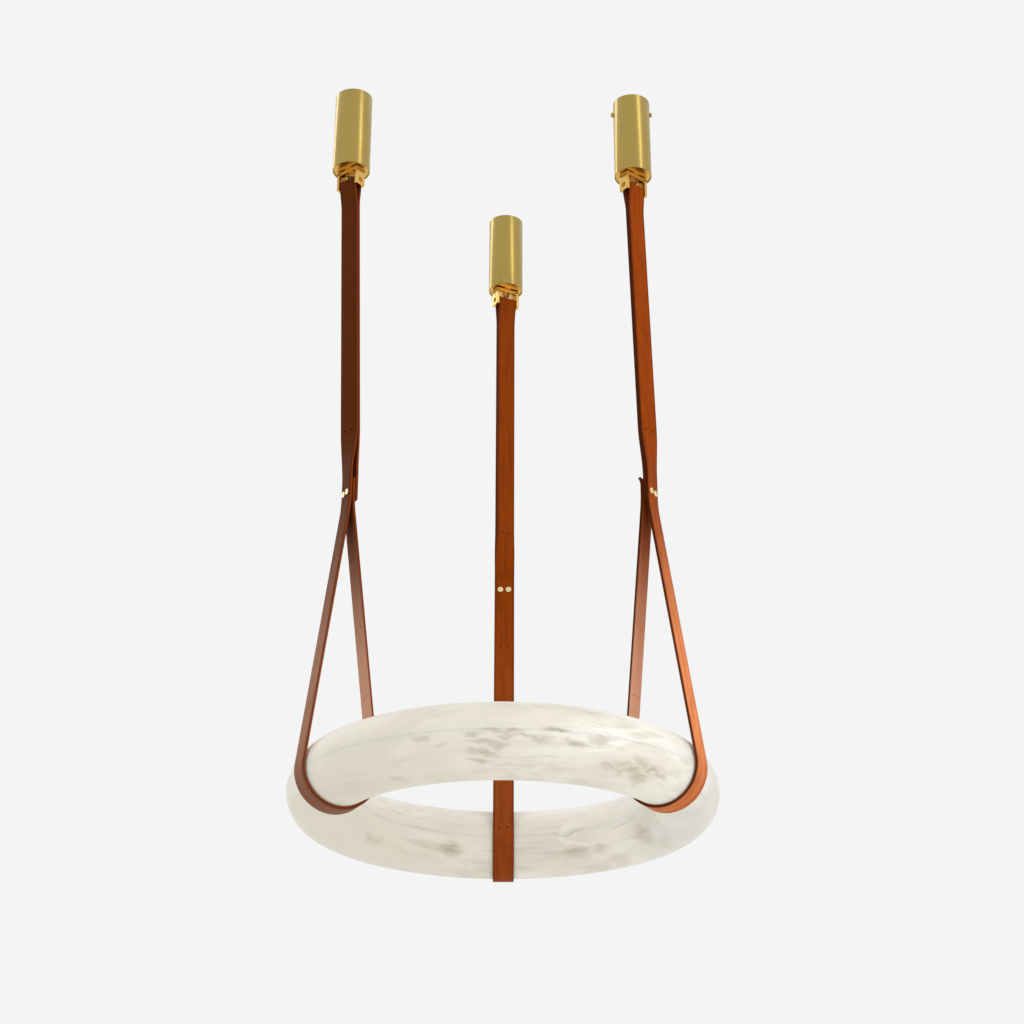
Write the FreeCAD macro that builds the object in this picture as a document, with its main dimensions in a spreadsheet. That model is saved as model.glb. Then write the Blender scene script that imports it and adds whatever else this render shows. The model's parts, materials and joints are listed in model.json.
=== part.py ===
import FreeCAD, Part
import Sketcher

import math
import os
import re

from FreeCAD import Placement, Rotation, Vector

# A hollow alabaster ring that hangs in three leather slings from three brass ceiling canopies.
# Millimetres, +Z up. The origin is on the ring's axis, in the plane of the ceiling.

SIDES = ("left", "rear", "right")

# Each size has a name, a value and what it measures. Angles are degrees from +X, seen from above.
SIZES = {
    # the ring
    "ringRadius": (250.0, "axis of the ring to the centre of its round tube"),
    "tubeRadius": (50.0, "outside of the alabaster tube"),
    "shellWall": (10.0, "alabaster wall"),
    "seamGroove": (0.8, "radius of the groove where the two half shells meet"),
    "pinRadius": (2.0, "locating pin"),
    "pinLength": (16.0, "locating pin"),
    "pinFirstAngle": (60.0, "first of the locating pins"),
    "carrierHalfWidth": (24.0, "half the width of the light carrier"),
    "carrierThickness": (3.0, "light carrier"),
    "stripWidth": (12.0, "light strip"),
    "stripThickness": (1.6, "light strip"),
    # heights
    "dropHeight": (1096.0, "ceiling to the centre of the tube"),
    "clampRise": (412.0, "centre of the tube to the clamp screws"),
    # where each strap starts on the ceiling, where it holds the ring, and how far its bar is turned
    "leftCanopyRadius": (262.0, "ring axis to the left canopy"),
    "leftCanopyAngle": (205.0, "direction of the left canopy"),
    "leftSlingAngle": (207.0, "direction of the left sling"),
    "leftBarTwist": (25.0, "left bar against its sling"),
    "leftClampLean": (3.0, "left clamp towards the ring axis, from over the tube's centre"),
    "leftScrewTurn": (45.0, "cover screws of the left canopy to either side of +Y"),
    "rearCanopyRadius": (245.0, "ring axis to the rear canopy"),
    "rearCanopyAngle": (90.0, "direction of the rear canopy"),
    "rearSlingAngle": (90.0, "direction of the rear sling"),
    "rearBarTwist": (29.0, "rear bar against its sling"),
    "rearClampLean": (2.0, "rear clamp towards the ring axis, from over the tube's centre"),
    "rearScrewTurn": (45.0, "cover screws of the rear canopy to either side of +Y"),
    "rightCanopyRadius": (220.0, "ring axis to the right canopy"),
    "rightCanopyAngle": (333.4, "direction of the right canopy"),
    "rightSlingAngle": (330.0, "direction of the right sling"),
    "rightBarTwist": (-20.0, "right bar against its sling"),
    "rightClampLean": (12.0, "right clamp towards the ring axis, from over the tube's centre"),
    "rightScrewTurn": (90.0, "cover screws of the right canopy to either side of +Y"),
    # canopy cover
    "coverRadius": (28.5, "outside of the cover tube"),
    "coverLength": (136.0, "ceiling to the cover's lower rim"),
    "coverWall": (1.5, "cover tube"),
    "coverTopGap": (0.5, "shadow gap at the ceiling"),
    "coverRimBevel": (0.5, "bevel round the lower rim"),
    "coverSlideGap": (0.3, "cover to what it slides over"),
    "coverScrewDrop": (20.0, "ceiling to the cover screws"),
    "coverScrewRadius": (2.0, "shank of a cover screw"),
    "coverScrewTip": (0.05, "tip of a cover screw to the bracket that it presses on"),
    "coverScrewHead": (3.5, "radius of a cover screw's head"),
    "coverScrewHeadHeight": (3.5, "cover screw"),
    # ceiling bracket and stud
    "bracketBase": (4.0, "plate against the ceiling"),
    "bracketHeight": (34.0, "whole bracket"),
    "bracketWall": (2.5, "bracket skirt"),
    "ceilingHoleSpacing": (32.0, "between the two ceiling screws"),
    "ceilingHoleRadius": (2.5, "ceiling screw hole"),
    "studRadius": (3.0, "threaded stud"),
    "threadGap": (0.1, "radial, any screwed or pressed hole"),
    "studEndGap": (0.5, "top of the stud below the ceiling"),
    "nutWidth": (11.5, "hexagon nut across its corners"),
    "nutHeight": (5.0, "hexagon nut"),
    # end plate and swivel
    "endPlateRecess": (1.5, "end plate above the cover's rim"),
    "endPlateThickness": (3.0, "end plate"),
    "washerRadius": (10.0, "thrust washer"),
    "washerThickness": (1.2, "thrust washer"),
    "swivelGap": (0.2, "axial, clevis to washer and to swivel nut"),
    "swivelFit": (0.08, "radial, clevis on the stud"),
    "studTail": (1.0, "stud below the swivel nut"),
    # clevis and bar
    "webThickness": (6.0, "clevis web"),
    "clevisDepth": (18.0, "clevis across the bar"),
    "earThickness": (4.5, "clevis ear"),
    "earGap": (0.7, "ear to the edge of the strap"),
    "barDrop": (22.0, "cover's rim to the bar"),
    "barRadius": (4.0, "bar"),
    "barRecess": (2.0, "bar end inside its ear"),
    "barSocketWidth": (4.6, "hexagon socket across its corners"),
    "barSocketDepth": (2.5, "hexagon socket"),
    # strap
    "strapWidth": (31.0, "strap"),
    "strapThickness": (4.0, "strap"),
    "plyGap": (0.3, "between plies that lie together"),
    "loopGap": (0.3, "strap to the bar"),
    "gatherLength": (45.0, "bar to where the two plies lie together"),
    "twistLength": (80.0, "height above the clamp in which the strap untwists and its plies close"),
    "clampFlat": (26.0, "flat stretch above the clamp screws"),
    "clampSkirt": (18.0, "clamp screws to where the legs part"),
    "firstEnd": (13.0, "clamp screws down to the strap's first end"),
    "legTail": (20.0, "clamp screws to the end of the inner leg"),
    "wrapGap": (1.2, "strap to the sides of the tube"),
    "seatGap": (0.3, "strap to the bottom of the tube"),
    "holePitch": (100.0, "between rows of strap holes"),
    "holeSpacing": (12.5, "between the two holes of a row"),
    "strapHoleRadius": (1.6, "strap hole"),
    # clamp screws
    "postRadius": (2.5, "barrel of the screw post"),
    "clampHeadRadius": (4.6, "head of the post and of its screw"),
    "clampHeadHeight": (2.0, "head of the post and of its screw"),
    "clampScrewRadius": (1.5, "screw inside the post"),
    "clampSocketRadius": (1.7, "socket in each head"),
    "clampSocketDepth": (1.2, "socket in each head"),
    # electrical parts in the rear canopy
    "driverWidth": (16.0, "light driver"),
    "driverDepth": (17.0, "light driver"),
    "driverHeight": (70.0, "light driver"),
    "driverOffset": (8.0, "stud axis to the driver"),
    "terminalWidth": (16.0, "terminal block"),
    "terminalDepth": (11.0, "terminal block"),
    "terminalHeight": (10.0, "terminal block"),
    "terminalOffset": (8.5, "stud axis to the terminal block"),
}

PIN_COUNT = 6
INNER_LEG_ROWS = 4
OUTER_LEG_ROWS = 1
TWIST_STEPS = 8

# Straps whose second end comes up between the other two plies. In the rest it comes up inside them.
TUCKED = ("left",)

doc = FreeCAD.newDocument("RingPendant")
sheet = doc.addObject("Spreadsheet::Sheet", "Sizes")
for row, (alias, (value, meaning)) in enumerate(SIZES.items(), start=1):
    sheet.set("A%d" % row, alias)
    sheet.set("B%d" % row, str(value))
    sheet.set("C%d" % row, meaning)
    sheet.setAlias("B%d" % row, alias)
doc.recompute()

nodes = []


def size(alias):
    """A size as the sheet holds it."""
    return float(sheet.get(alias))


def formula(text):
    """An expression in the names of the sheet."""
    return re.sub(r"[A-Za-z]+", lambda m: "Sizes." + m.group() if m.group() in SIZES else m.group(), text)


def bind(item, **formulas):
    """Ties properties of an object to the sheet; x, y and z place it, turn rotates it about Z."""
    places = {"x": "Placement.Base.x", "y": "Placement.Base.y", "z": "Placement.Base.z"}
    for name, text in formulas.items():
        item.setExpression(places.get(name, name), formula(text))
    return item


def node(item, label):
    """Marks an object as a finished sub-part; its label names its file."""
    item.Label = label
    nodes.append(item)
    return item


def stand(item, x, y, turn="0", z="0"):
    """Puts a finished sub-part at its place, turned about the vertical."""
    bind(item, x=x, y=y, z=z)
    item.setExpression("Placement.Rotation.Axis.z", "1")
    item.setExpression("Placement.Rotation.Angle", formula(turn))
    return item


# The names of the derived heights and radii, each worked out from the sheet.
COVER_BORE = "(coverRadius - coverWall)"
BRACKET_RADIUS = "(coverRadius - coverWall - coverSlideGap)"
THREAD_HOLE = "(studRadius + threadGap)"
PLATE_BOTTOM = "(-coverLength + endPlateRecess)"
WASHER_BOTTOM = "(-coverLength + endPlateRecess - washerThickness)"
WEB_TOP = "(-coverLength + endPlateRecess - washerThickness - swivelGap)"
WEB_BOTTOM = "(-coverLength + endPlateRecess - washerThickness - swivelGap - webThickness)"
NUT_TOP = "(-coverLength + endPlateRecess - washerThickness - 2 * swivelGap - webThickness)"
BAR_Z = "(-coverLength - barDrop)"
SLOT_WIDTH = "(strapWidth + 2 * earGap)"
CLEVIS_WIDTH = "(strapWidth + 2 * earGap + 2 * earThickness)"


def canopy_x(side):
    return "%sCanopyRadius * cos(%sCanopyAngle)" % (side, side)


def canopy_y(side):
    return "%sCanopyRadius * sin(%sCanopyAngle)" % (side, side)


def at_canopy(item, side, turn="0"):
    return stand(item, canopy_x(side), canopy_y(side), turn)


def bar_turn(side):
    return "%sSlingAngle - 90 + %sBarTwist" % (side, side)


# ---- simple solids tied to the sheet ----

def cylinder(name, radius, height, z="0"):
    item = doc.addObject("Part::Cylinder", name)
    return bind(item, Radius=radius, Height=height, z=z)


def lying_cylinder(name, radius, length, axis, z="0", x="0", y="0"):
    """A cylinder along X or Y, centred on its place."""
    item = doc.addObject("Part::Cylinder", name)
    bind(item, Radius=radius, Height=length, z=z)
    if axis == "x":
        item.Placement.Rotation = Rotation(Vector(0, 1, 0), 90)
        bind(item, x="%s - (%s) / 2" % (x, length), y=y)
    else:
        item.Placement.Rotation = Rotation(Vector(1, 0, 0), -90)
        bind(item, x=x, y="%s - (%s) / 2" % (y, length))
    return item


def block(name, length, width, height, x, y, z):
    item = doc.addObject("Part::Box", name)
    return bind(item, Length=length, Width=width, Height=height, x=x, y=y, z=z)


def cut(name, base, *tools):
    tool = tools[0] if len(tools) == 1 else group(name + "Tools", *tools)
    item = doc.addObject("Part::Cut", name)
    item.Base = base
    item.Tool = tool
    return item


def group(name, *items):
    item = doc.addObject("Part::Compound", name)
    item.Links = list(items)
    return item


def fuse(name, *items):
    item = doc.addObject("Part::MultiFuse", name)
    item.Shapes = list(items)
    return item


# ---- sketched bodies ----

def origin_plane(body, role):
    return next(feature for feature in body.Origin.OriginFeatures if feature.Role == role)


def new_sketch(body, name, role):
    sketch = body.newObject("Sketcher::SketchObject", name)
    sketch.AttachmentSupport = [(origin_plane(body, role), "")]
    sketch.MapMode = "FlatFace"
    return sketch


def pin_point(sketch, geometry, end, x, y):
    """Holds a point of the sketch at two formulas measured from the origin."""
    for kind, axis, text in (("DistanceX", -2, x), ("DistanceY", -1, y)):
        if text == "0":
            sketch.addConstraint(Sketcher.Constraint("PointOnObject", geometry, end, axis))
        else:
            index = sketch.addConstraint(Sketcher.Constraint(kind, -1, 1, geometry, end, 1.0))
            sketch.setExpression("Constraints[%d]" % index, formula(text))


def outline(body, name, role, corners):
    """A closed outline with straight sides; each corner is a pair of formulas."""
    sketch = new_sketch(body, name, role)
    count = len(corners)
    rough = [Vector(10.0 * math.cos(2 * math.pi * i / count), 10.0 * math.sin(2 * math.pi * i / count), 0)
             for i in range(count)]
    for i in range(count):
        sketch.addGeometry(Part.LineSegment(rough[i], rough[(i + 1) % count]), False)
    for i in range(count):
        sketch.addConstraint(Sketcher.Constraint("Coincident", i, 2, (i + 1) % count, 1))
    for i, (x, y) in enumerate(corners):
        pin_point(sketch, i, 1, x, y)
    return sketch


def circles(body, name, role, radius, centres):
    sketch = new_sketch(body, name, role)
    for i, (x, y) in enumerate(centres):
        sketch.addGeometry(Part.Circle(Vector(5.0 * i, 5.0, 0), Vector(0, 0, 1), 1.0), False)
        index = sketch.addConstraint(Sketcher.Constraint("Radius", i, 1.0))
        sketch.setExpression("Constraints[%d]" % index, formula(radius))
        pin_point(sketch, i, 3, x, y)
    return sketch


def revolve(body, sketch):
    item = body.newObject("PartDesign::Revolution", sketch.Name + "Turned")
    item.Profile = sketch
    item.ReferenceAxis = (sketch, ["V_Axis"])
    item.Angle = 360
    return item


def pocket_through(body, sketch):
    item = body.newObject("PartDesign::Pocket", sketch.Name + "Cut")
    item.Profile = sketch
    item.Type = 0
    item.Midplane = True
    return bind(item, Length="4 * coverRadius")


# ---- one hanger: bracket, stud, cover, end plate, swivel, clevis and bar ----

def make_bracket(side):
    body = doc.addObject("PartDesign::Body", side + "Bracket")
    inside = "%s - bracketWall" % BRACKET_RADIUS
    profile = outline(body, side + "BracketProfile", "XZ_Plane", [
        (THREAD_HOLE, "0"),
        (BRACKET_RADIUS, "0"),
        (BRACKET_RADIUS, "-bracketHeight"),
        (inside, "-bracketHeight"),
        (inside, "-bracketBase"),
        (THREAD_HOLE, "-bracketBase")])
    revolve(body, profile)
    pocket_through(body, circles(body, side + "CeilingHoles", "XY_Plane", "ceilingHoleRadius",
                                 [("0", "ceilingHoleSpacing / 2"), ("0", "-ceilingHoleSpacing / 2")]))
    return node(at_canopy(body, side), side + "_ceiling_bracket")


def make_stud(side):
    length = "-studEndGap - %s + nutHeight + studTail" % NUT_TOP
    item = cylinder(side + "Stud", "studRadius", length, "%s - nutHeight - studTail" % NUT_TOP)
    return node(at_stud(item, side), side + "_hanging_stud")


def at_stud(item, side):
    """Moves a vertical piece to the canopy's axis and keeps its height."""
    return bind(item, x=canopy_x(side), y=canopy_y(side))


def hexagon_nut(name, label, side, bottom):
    prism = doc.addObject("Part::Prism", name + "Hexagon")
    prism.Polygon = 6
    bind(prism, Circumradius="nutWidth / 2", Height="nutHeight", z=bottom)
    bore = cylinder(name + "Bore", THREAD_HOLE, "nutHeight", bottom)
    return node(at_canopy(cut(name, prism, bore), side), label)


def cover_screw_piece(name, side, radius, start, length):
    """Two cylinders that point away from the canopy's axis, one for each cover screw."""
    pieces = []
    for tag, sign in (("A", "+"), ("B", "-")):
        piece = lying_cylinder(name + tag, radius, length, "y", "-coverScrewDrop",
                               y="%s + (%s) / 2" % (start, length))
        turned = group(name + tag + "Turned", piece)
        pieces.append(stand(turned, "0", "0", "0 %s %sScrewTurn" % (sign, side)))
    return pieces


def make_cover(side):
    body = doc.addObject("PartDesign::Body", side + "CoverTube")
    profile = outline(body, side + "CoverProfile", "XZ_Plane", [
        (COVER_BORE, "-coverTopGap"),
        ("coverRadius", "-coverTopGap"),
        ("coverRadius", "-coverLength + coverRimBevel"),
        ("coverRadius - coverRimBevel", "-coverLength"),
        (COVER_BORE, "-coverLength")])
    revolve(body, profile)
    holes = cover_screw_piece(side + "CoverHole", side, "coverScrewRadius + threadGap",
                              BRACKET_RADIUS, "4 * coverWall")
    return node(at_canopy(cut(side + "Cover", body, *holes), side), side + "_canopy_cover")


def make_cover_screws(side):
    """Two screws in the cover's wall, whose tips press on the bracket inside it."""
    start = "(%s + coverScrewTip)" % BRACKET_RADIUS
    seat = "(coverRadius + threadGap)"
    reach = "%s - %s" % (seat, start)
    shanks = cover_screw_piece(side + "ScrewShank", side, "coverScrewRadius", start, reach)
    heads = cover_screw_piece(side + "ScrewHead", side, "coverScrewHead", seat, "coverScrewHeadHeight")
    screws = [fuse(side + "CoverScrew" + tag, shank, head) for tag, shank, head in zip("AB", shanks, heads)]
    return node(at_canopy(group(side + "CoverScrews", *screws), side), side + "_cover_screws")


def make_end_plate(side):
    disc = cylinder(side + "PlateDisc", BRACKET_RADIUS, "endPlateThickness", PLATE_BOTTOM)
    bore = cylinder(side + "PlateBore", THREAD_HOLE, "endPlateThickness", PLATE_BOTTOM)
    return node(at_canopy(cut(side + "Plate", disc, bore), side), side + "_end_plate")


def make_washer(side):
    disc = cylinder(side + "WasherDisc", "washerRadius", "washerThickness", WASHER_BOTTOM)
    bore = cylinder(side + "WasherBore", THREAD_HOLE, "washerThickness", WASHER_BOTTOM)
    return node(at_canopy(cut(side + "Washer", disc, bore), side), side + "_thrust_washer")


def make_clevis(side):
    """A web on the stud with two ears, as far below the bar as beside it."""
    foot = "(%s - clevisDepth / 2)" % BAR_Z
    form = block(side + "ClevisForm", CLEVIS_WIDTH, "clevisDepth", "%s - %s" % (WEB_TOP, foot),
                 "-%s / 2" % CLEVIS_WIDTH, "-clevisDepth / 2", foot)
    slot = block(side + "ClevisSlot", SLOT_WIDTH, "2 * clevisDepth",
                 "%s - %s + clevisDepth" % (WEB_BOTTOM, BAR_Z),
                 "-%s / 2" % SLOT_WIDTH, "-clevisDepth", "%s - clevisDepth" % BAR_Z)
    bore = cylinder(side + "ClevisBore", "studRadius + swivelFit", "2 * webThickness",
                    "%s - webThickness / 2" % WEB_BOTTOM)
    eyes = lying_cylinder(side + "ClevisEyes", "barRadius + threadGap", "2 * %s" % CLEVIS_WIDTH, "x", BAR_Z)
    item = cut(side + "Clevis", form, slot, bore, eyes)
    return node(at_canopy(item, side, bar_turn(side)), side + "_clevis")


def make_bar(side):
    length = "(%s - 2 * barRecess)" % CLEVIS_WIDTH
    rod = lying_cylinder(side + "BarRod", "barRadius", length, "x", BAR_Z)
    sockets = []
    for tag, sign in (("Near", "-"), ("Far", "+")):
        socket = doc.addObject("Part::Prism", side + "BarSocket" + tag)
        socket.Polygon = 6
        socket.Placement.Rotation = Rotation(Vector(0, 1, 0), 90)
        bind(socket, Circumradius="barSocketWidth / 2", Height="2 * barSocketDepth",
             x="0 %s %s / 2 - barSocketDepth" % (sign, length), z=BAR_Z)
        sockets.append(socket)
    return node(at_canopy(cut(side + "Bar", rod, *sockets), side, bar_turn(side)), side + "_strap_bar")


# ---- the strap ----

def ease(share):
    share = min(1.0, max(0.0, share))
    return share * share * (3.0 - 2.0 * share)


def sling_frame(side):
    """X along the ring, Y outwards, Z up, with the origin at the centre of the tube."""
    angle = size(side + "SlingAngle")
    reach = size("ringRadius")
    base = Vector(reach * math.cos(math.radians(angle)), reach * math.sin(math.radians(angle)),
                  -size("dropHeight"))
    return Placement(base, Rotation(Vector(0, 0, 1), angle - 90))


def ply_pitch():
    return size("strapThickness") + size("plyGap")


def first_ply(side):
    """How far out from the middle of the clamp the ply with the strap's first end lies."""
    return -ply_pitch() if side in TUCKED else 0.0


def leg_ply(side):
    """How far in from the middle of the clamp the inner leg comes up."""
    return 0.0 if side in TUCKED else ply_pitch()


def clamp_middle(side):
    """How far out from over the tube's centre the clamp stands."""
    return -size(side + "ClampLean")


def upper_centre(side, height):
    """Middle of the two upper plies, their turn and how far they have closed, at a height."""
    bar = Vector(size(side + "CanopyRadius") * math.cos(math.radians(size(side + "CanopyAngle"))),
                 size(side + "CanopyRadius") * math.sin(math.radians(size(side + "CanopyAngle"))),
                 -size("coverLength") - size("barDrop"))
    middle = clamp_middle(side) + (ply_pitch() + first_ply(side)) / 2
    clamp = sling_frame(side).multVec(Vector(0, middle, size("clampRise") + size("clampFlat")))
    share = (height - clamp.z) / (bar.z - clamp.z)
    closed = ease((height - clamp.z) / size("twistLength"))
    turn = size(side + "SlingAngle") - 90 + size(side + "BarTwist") * closed
    return clamp + (bar - clamp) * share, turn, closed


def ply_section(side, height, which):
    """Outline of one ply at a height; which is +1 for the outer ply and -1 for the inner one."""
    centre, turn, closed = upper_centre(side, height)
    bar_height = -size("coverLength") - size("barDrop")
    spread = ease(1.0 - (bar_height - height) / size("gatherLength"))
    apart = (ply_pitch() - first_ply(side) - size("strapThickness")) / 2
    together = apart * (1 - closed) + size("plyGap") / 2 * closed
    near = together * (1 - spread) + (size("barRadius") + size("loopGap")) * spread
    far = near + size("strapThickness")
    half = size("strapWidth") / 2
    corners = [Vector(-half, which * near, 0), Vector(half, which * near, 0),
               Vector(half, which * far, 0), Vector(-half, which * far, 0)]
    frame = Placement(centre, Rotation(Vector(0, 0, 1), turn))
    placed = [frame.multVec(corner) for corner in corners]
    return Part.makePolygon(placed + placed[:1])


def strap_heights(side):
    """Heights of the sections, closer together where the plies gather and where the strap untwists."""
    top = -size("coverLength") - size("barDrop")
    bottom = sling_frame(side).Base.z + size("clampRise") + size("clampFlat")
    gather = [top - size("gatherLength") * i / TWIST_STEPS for i in range(TWIST_STEPS + 1)]
    untwist = [bottom + size("twistLength") * i / TWIST_STEPS for i in range(TWIST_STEPS, -1, -1)]
    return gather + untwist


def loop_over_bar(side):
    """Half a turn of leather over the bar."""
    inner = size("barRadius") + size("loopGap")
    outer = inner + size("strapThickness")
    half = size("strapWidth") / 2
    ring = Part.makeCylinder(outer, 2 * half, Vector(-half, 0, 0), Vector(1, 0, 0))
    ring = ring.cut(Part.makeCylinder(inner, 2 * half, Vector(-half, 0, 0), Vector(1, 0, 0)))
    keep = Part.makeBox(2 * half, 2 * outer, outer, Vector(-half, -outer, 0))
    loop = ring.common(keep)
    centre, turn, closed = upper_centre(side, -size("coverLength") - size("barDrop"))
    loop.Placement = Placement(centre, Rotation(Vector(0, 0, 1), turn))
    return loop


def sling_profile(side):
    """Outer ply, outer leg, wrap and inner leg as one outline, in the sling's Y and Z."""
    half = size("strapThickness") / 2
    part = size("clampRise") - size("clampSkirt")
    wrap = size("tubeRadius") + size("wrapGap") + half
    lift = size("wrapGap") - size("seatGap")

    def leg(way, offset, top):
        """Far and near face of a leg, each from its top past the bend to where it meets the wrap."""
        leave = math.atan2(part - lift, offset) - math.acos(wrap / math.hypot(offset, part - lift))
        miter = half * math.tan(leave / 2)
        faces = []
        for face in (half, -half):
            reach = wrap + face
            faces.append([
                Vector(0, way * (offset + face), top),
                Vector(0, way * (offset + face), part + math.copysign(miter, face)),
                Vector(0, way * reach * math.cos(leave), lift + reach * math.sin(leave))])
        return faces

    def run(points):
        return [Part.makeLine(a, b) for a, b in zip(points, points[1:])]

    def bow(radius, start, end):
        return Part.Arc(start, Vector(0, 0, lift - radius), end).toShape()

    outer_far, outer_near = leg(1, clamp_middle(side) + ply_pitch(),
                               size("clampRise") + size("clampFlat"))
    inner_far, inner_near = leg(-1, leg_ply(side) - clamp_middle(side),
                                 size("clampRise") + size("legTail"))
    edges = run(outer_far) + [bow(wrap + half, outer_far[-1], inner_far[-1])] + run(inner_far)
    edges += run(outer_near) + [bow(wrap - half, outer_near[-1], inner_near[-1])] + run(inner_near)
    edges += run([outer_far[0], outer_near[0]]) + run([inner_far[0], inner_near[0]])
    return Part.Wire(Part.__sortEdges__(edges))


def strap_holes(side):
    """Post holes at the clamp, one row above it, one down the outer leg and more down the inner one."""
    tools = []
    row = size("clampRise")
    middle = clamp_middle(side)
    reach = 2 * size("tubeRadius")
    for x in (-size("holeSpacing") / 2, size("holeSpacing") / 2):
        post = size("postRadius") + size("threadGap")
        tools.append(Part.makeCylinder(post, 40, Vector(x, middle - 20, row), Vector(0, 1, 0)))
        for count, way in ((OUTER_LEG_ROWS, 1), (INNER_LEG_ROWS, -1)):
            for i in range(1, count + 1):
                height = row - i * size("holePitch")
                tools.append(Part.makeCylinder(size("strapHoleRadius"), reach, Vector(x, middle, height),
                                               Vector(0, way, 0)))
    frame = sling_frame(side)
    for tool in tools:
        tool.Placement = frame.multiply(tool.Placement)
    height = frame.Base.z + row + size("holePitch")
    centre, turn, closed = upper_centre(side, height)
    for x in (-size("holeSpacing") / 2, size("holeSpacing") / 2):
        tool = Part.makeCylinder(size("strapHoleRadius"), 40, Vector(x, -20, 0), Vector(0, 1, 0))
        tool.Placement = Placement(centre, Rotation(Vector(0, 0, 1), turn))
        tools.append(tool)
    return tools


def make_strap(side):
    """One long strap: its first end in the clamp, up, over the bar, down, round the tube and back up."""
    width = size("strapWidth")
    sling = Part.Face(sling_profile(side)).extrude(Vector(width, 0, 0))
    sling.translate(Vector(-width / 2, 0, 0))
    low = size("clampRise") - size("firstEnd")
    high = size("clampRise") + size("clampFlat")
    thick = size("strapThickness")
    face = clamp_middle(side) + first_ply(side) - thick / 2
    first = Part.makeBox(width, thick, high - low, Vector(-width / 2, face, low))
    frame = sling_frame(side)
    sling.Placement = frame.multiply(sling.Placement)
    first.Placement = frame.multiply(first.Placement)
    heights = strap_heights(side)
    plies = [Part.makeLoft([ply_section(side, z, which) for z in heights], True, True) for which in (1, -1)]
    shape = loop_over_bar(side).multiFuse(plies + [sling, first]).removeSplitter()
    shape = shape.cut(strap_holes(side))
    item = doc.addObject("Part::Feature", side + "Strap")
    item.Shape = shape.Solids[0]
    print("%s strap: %d solid, volume %.0f" % (side, len(shape.Solids), shape.Volume))
    return node(item, side + "_leather_strap")


# ---- the two screw posts of a clamp ----

def clamp_piece(name, side, sign, barrel_radius, barrel_length, hollow):
    """Heads and barrels of the two posts, or of their screws, in the sling's frame."""
    stack = "(3 * strapThickness + 2 * plyGap)"
    pieces = []
    for tag, x in (("A", "-holeSpacing / 2"), ("B", "holeSpacing / 2")):
        whole = name + tag
        face = "-%sClampLean %s %s / 2" % (side, sign, stack)
        head = lying_cylinder(whole + "Head", "clampHeadRadius", "clampHeadHeight", "y", "clampRise", x,
                              "%s %s clampHeadHeight / 2" % (face, sign))
        barrel = lying_cylinder(whole + "Barrel", barrel_radius, barrel_length, "y", "clampRise", x,
                                "%s %s -(%s) / 2" % (face, sign, barrel_length))
        socket = lying_cylinder(whole + "Socket", "clampSocketRadius", "2 * clampSocketDepth", "y",
                                "clampRise", x, "%s %s clampHeadHeight" % (face, sign))
        tools = [socket]
        if hollow:
            tools.append(lying_cylinder(whole + "Bore", "clampScrewRadius + threadGap",
                                        "2 * %s" % barrel_length, "y", "clampRise", x,
                                        "%s %s -%s" % (face, sign, barrel_length)))
        pieces.append(cut(whole, fuse(whole + "Form", head, barrel), *tools))
    item = group(name, *pieces)
    stand(item, "ringRadius * cos(%sSlingAngle)" % side, "ringRadius * sin(%sSlingAngle)" % side,
          "%sSlingAngle - 90" % side, "-dropHeight")
    return item


def make_clamp(side):
    stack = "(3 * strapThickness + 2 * plyGap)"
    posts = clamp_piece(side + "Posts", side, "-", "postRadius", stack, True)
    screws = clamp_piece(side + "ClampScrews", side, "+", "clampScrewRadius", "(%s * 0.8)" % stack, False)
    return node(posts, side + "_screw_posts"), node(screws, side + "_clamp_screws")


# ---- the ring ----

def ring_cylinder(name, radius, height, z):
    return cylinder(name, radius, height, "-dropHeight + %s" % z)


def torus(name, radius):
    item = doc.addObject("Part::Torus", name)
    return bind(item, Radius1="ringRadius", Radius2=radius, z="-dropHeight")


def pin_cylinders(name, radius, length):
    """One cylinder for each locating pin, in the middle of the outer wall."""
    pins = []
    for i in range(PIN_COUNT):
        angle = "pinFirstAngle + %d * %d" % (i, 360 // PIN_COUNT)
        circle = "(ringRadius + tubeRadius - shellWall / 2)"
        pin = ring_cylinder("%s%d" % (name, i), radius, length, "-(%s) / 2" % length)
        pins.append(bind(pin, x="%s * cos(%s)" % (circle, angle), y="%s * sin(%s)" % (circle, angle)))
    return pins


def seam_grooves(name):
    """Two thin rings that round the shells' meeting edges, on the outside and in the hole."""
    grooves = []
    for tag, sign in (("Outer", "+"), ("Inner", "-")):
        groove = doc.addObject("Part::Torus", name + tag)
        grooves.append(bind(groove, Radius1="ringRadius %s tubeRadius" % sign, Radius2="seamGroove",
                            z="-dropHeight"))
    return grooves


def make_shell(name, label, upper):
    """Half of the hollow ring, above or below the middle of the tube."""
    whole = cut(name + "Tube", torus(name + "Outside", "tubeRadius"),
                torus(name + "Inside", "tubeRadius - shellWall"))
    reach = "(ringRadius + 2 * tubeRadius)"
    height = "(2 * tubeRadius)"
    half = block(name + "Away", "2 * %s" % reach, "2 * %s" % reach, height, "-%s" % reach, "-%s" % reach,
                 "-dropHeight - %s" % height if upper else "-dropHeight")
    holes = pin_cylinders(name + "Hole", "pinRadius + threadGap", "pinLength + 2 * threadGap")
    return node(cut(name, whole, half, *holes, *seam_grooves(name + "Groove")), label)


def flat_ring(name, label, half_width, thickness, bottom):
    outside = ring_cylinder(name + "Outside", "ringRadius + %s" % half_width, thickness, bottom)
    inside = ring_cylinder(name + "Inside", "ringRadius - %s" % half_width, thickness, bottom)
    return node(cut(name, outside, inside), label)


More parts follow.
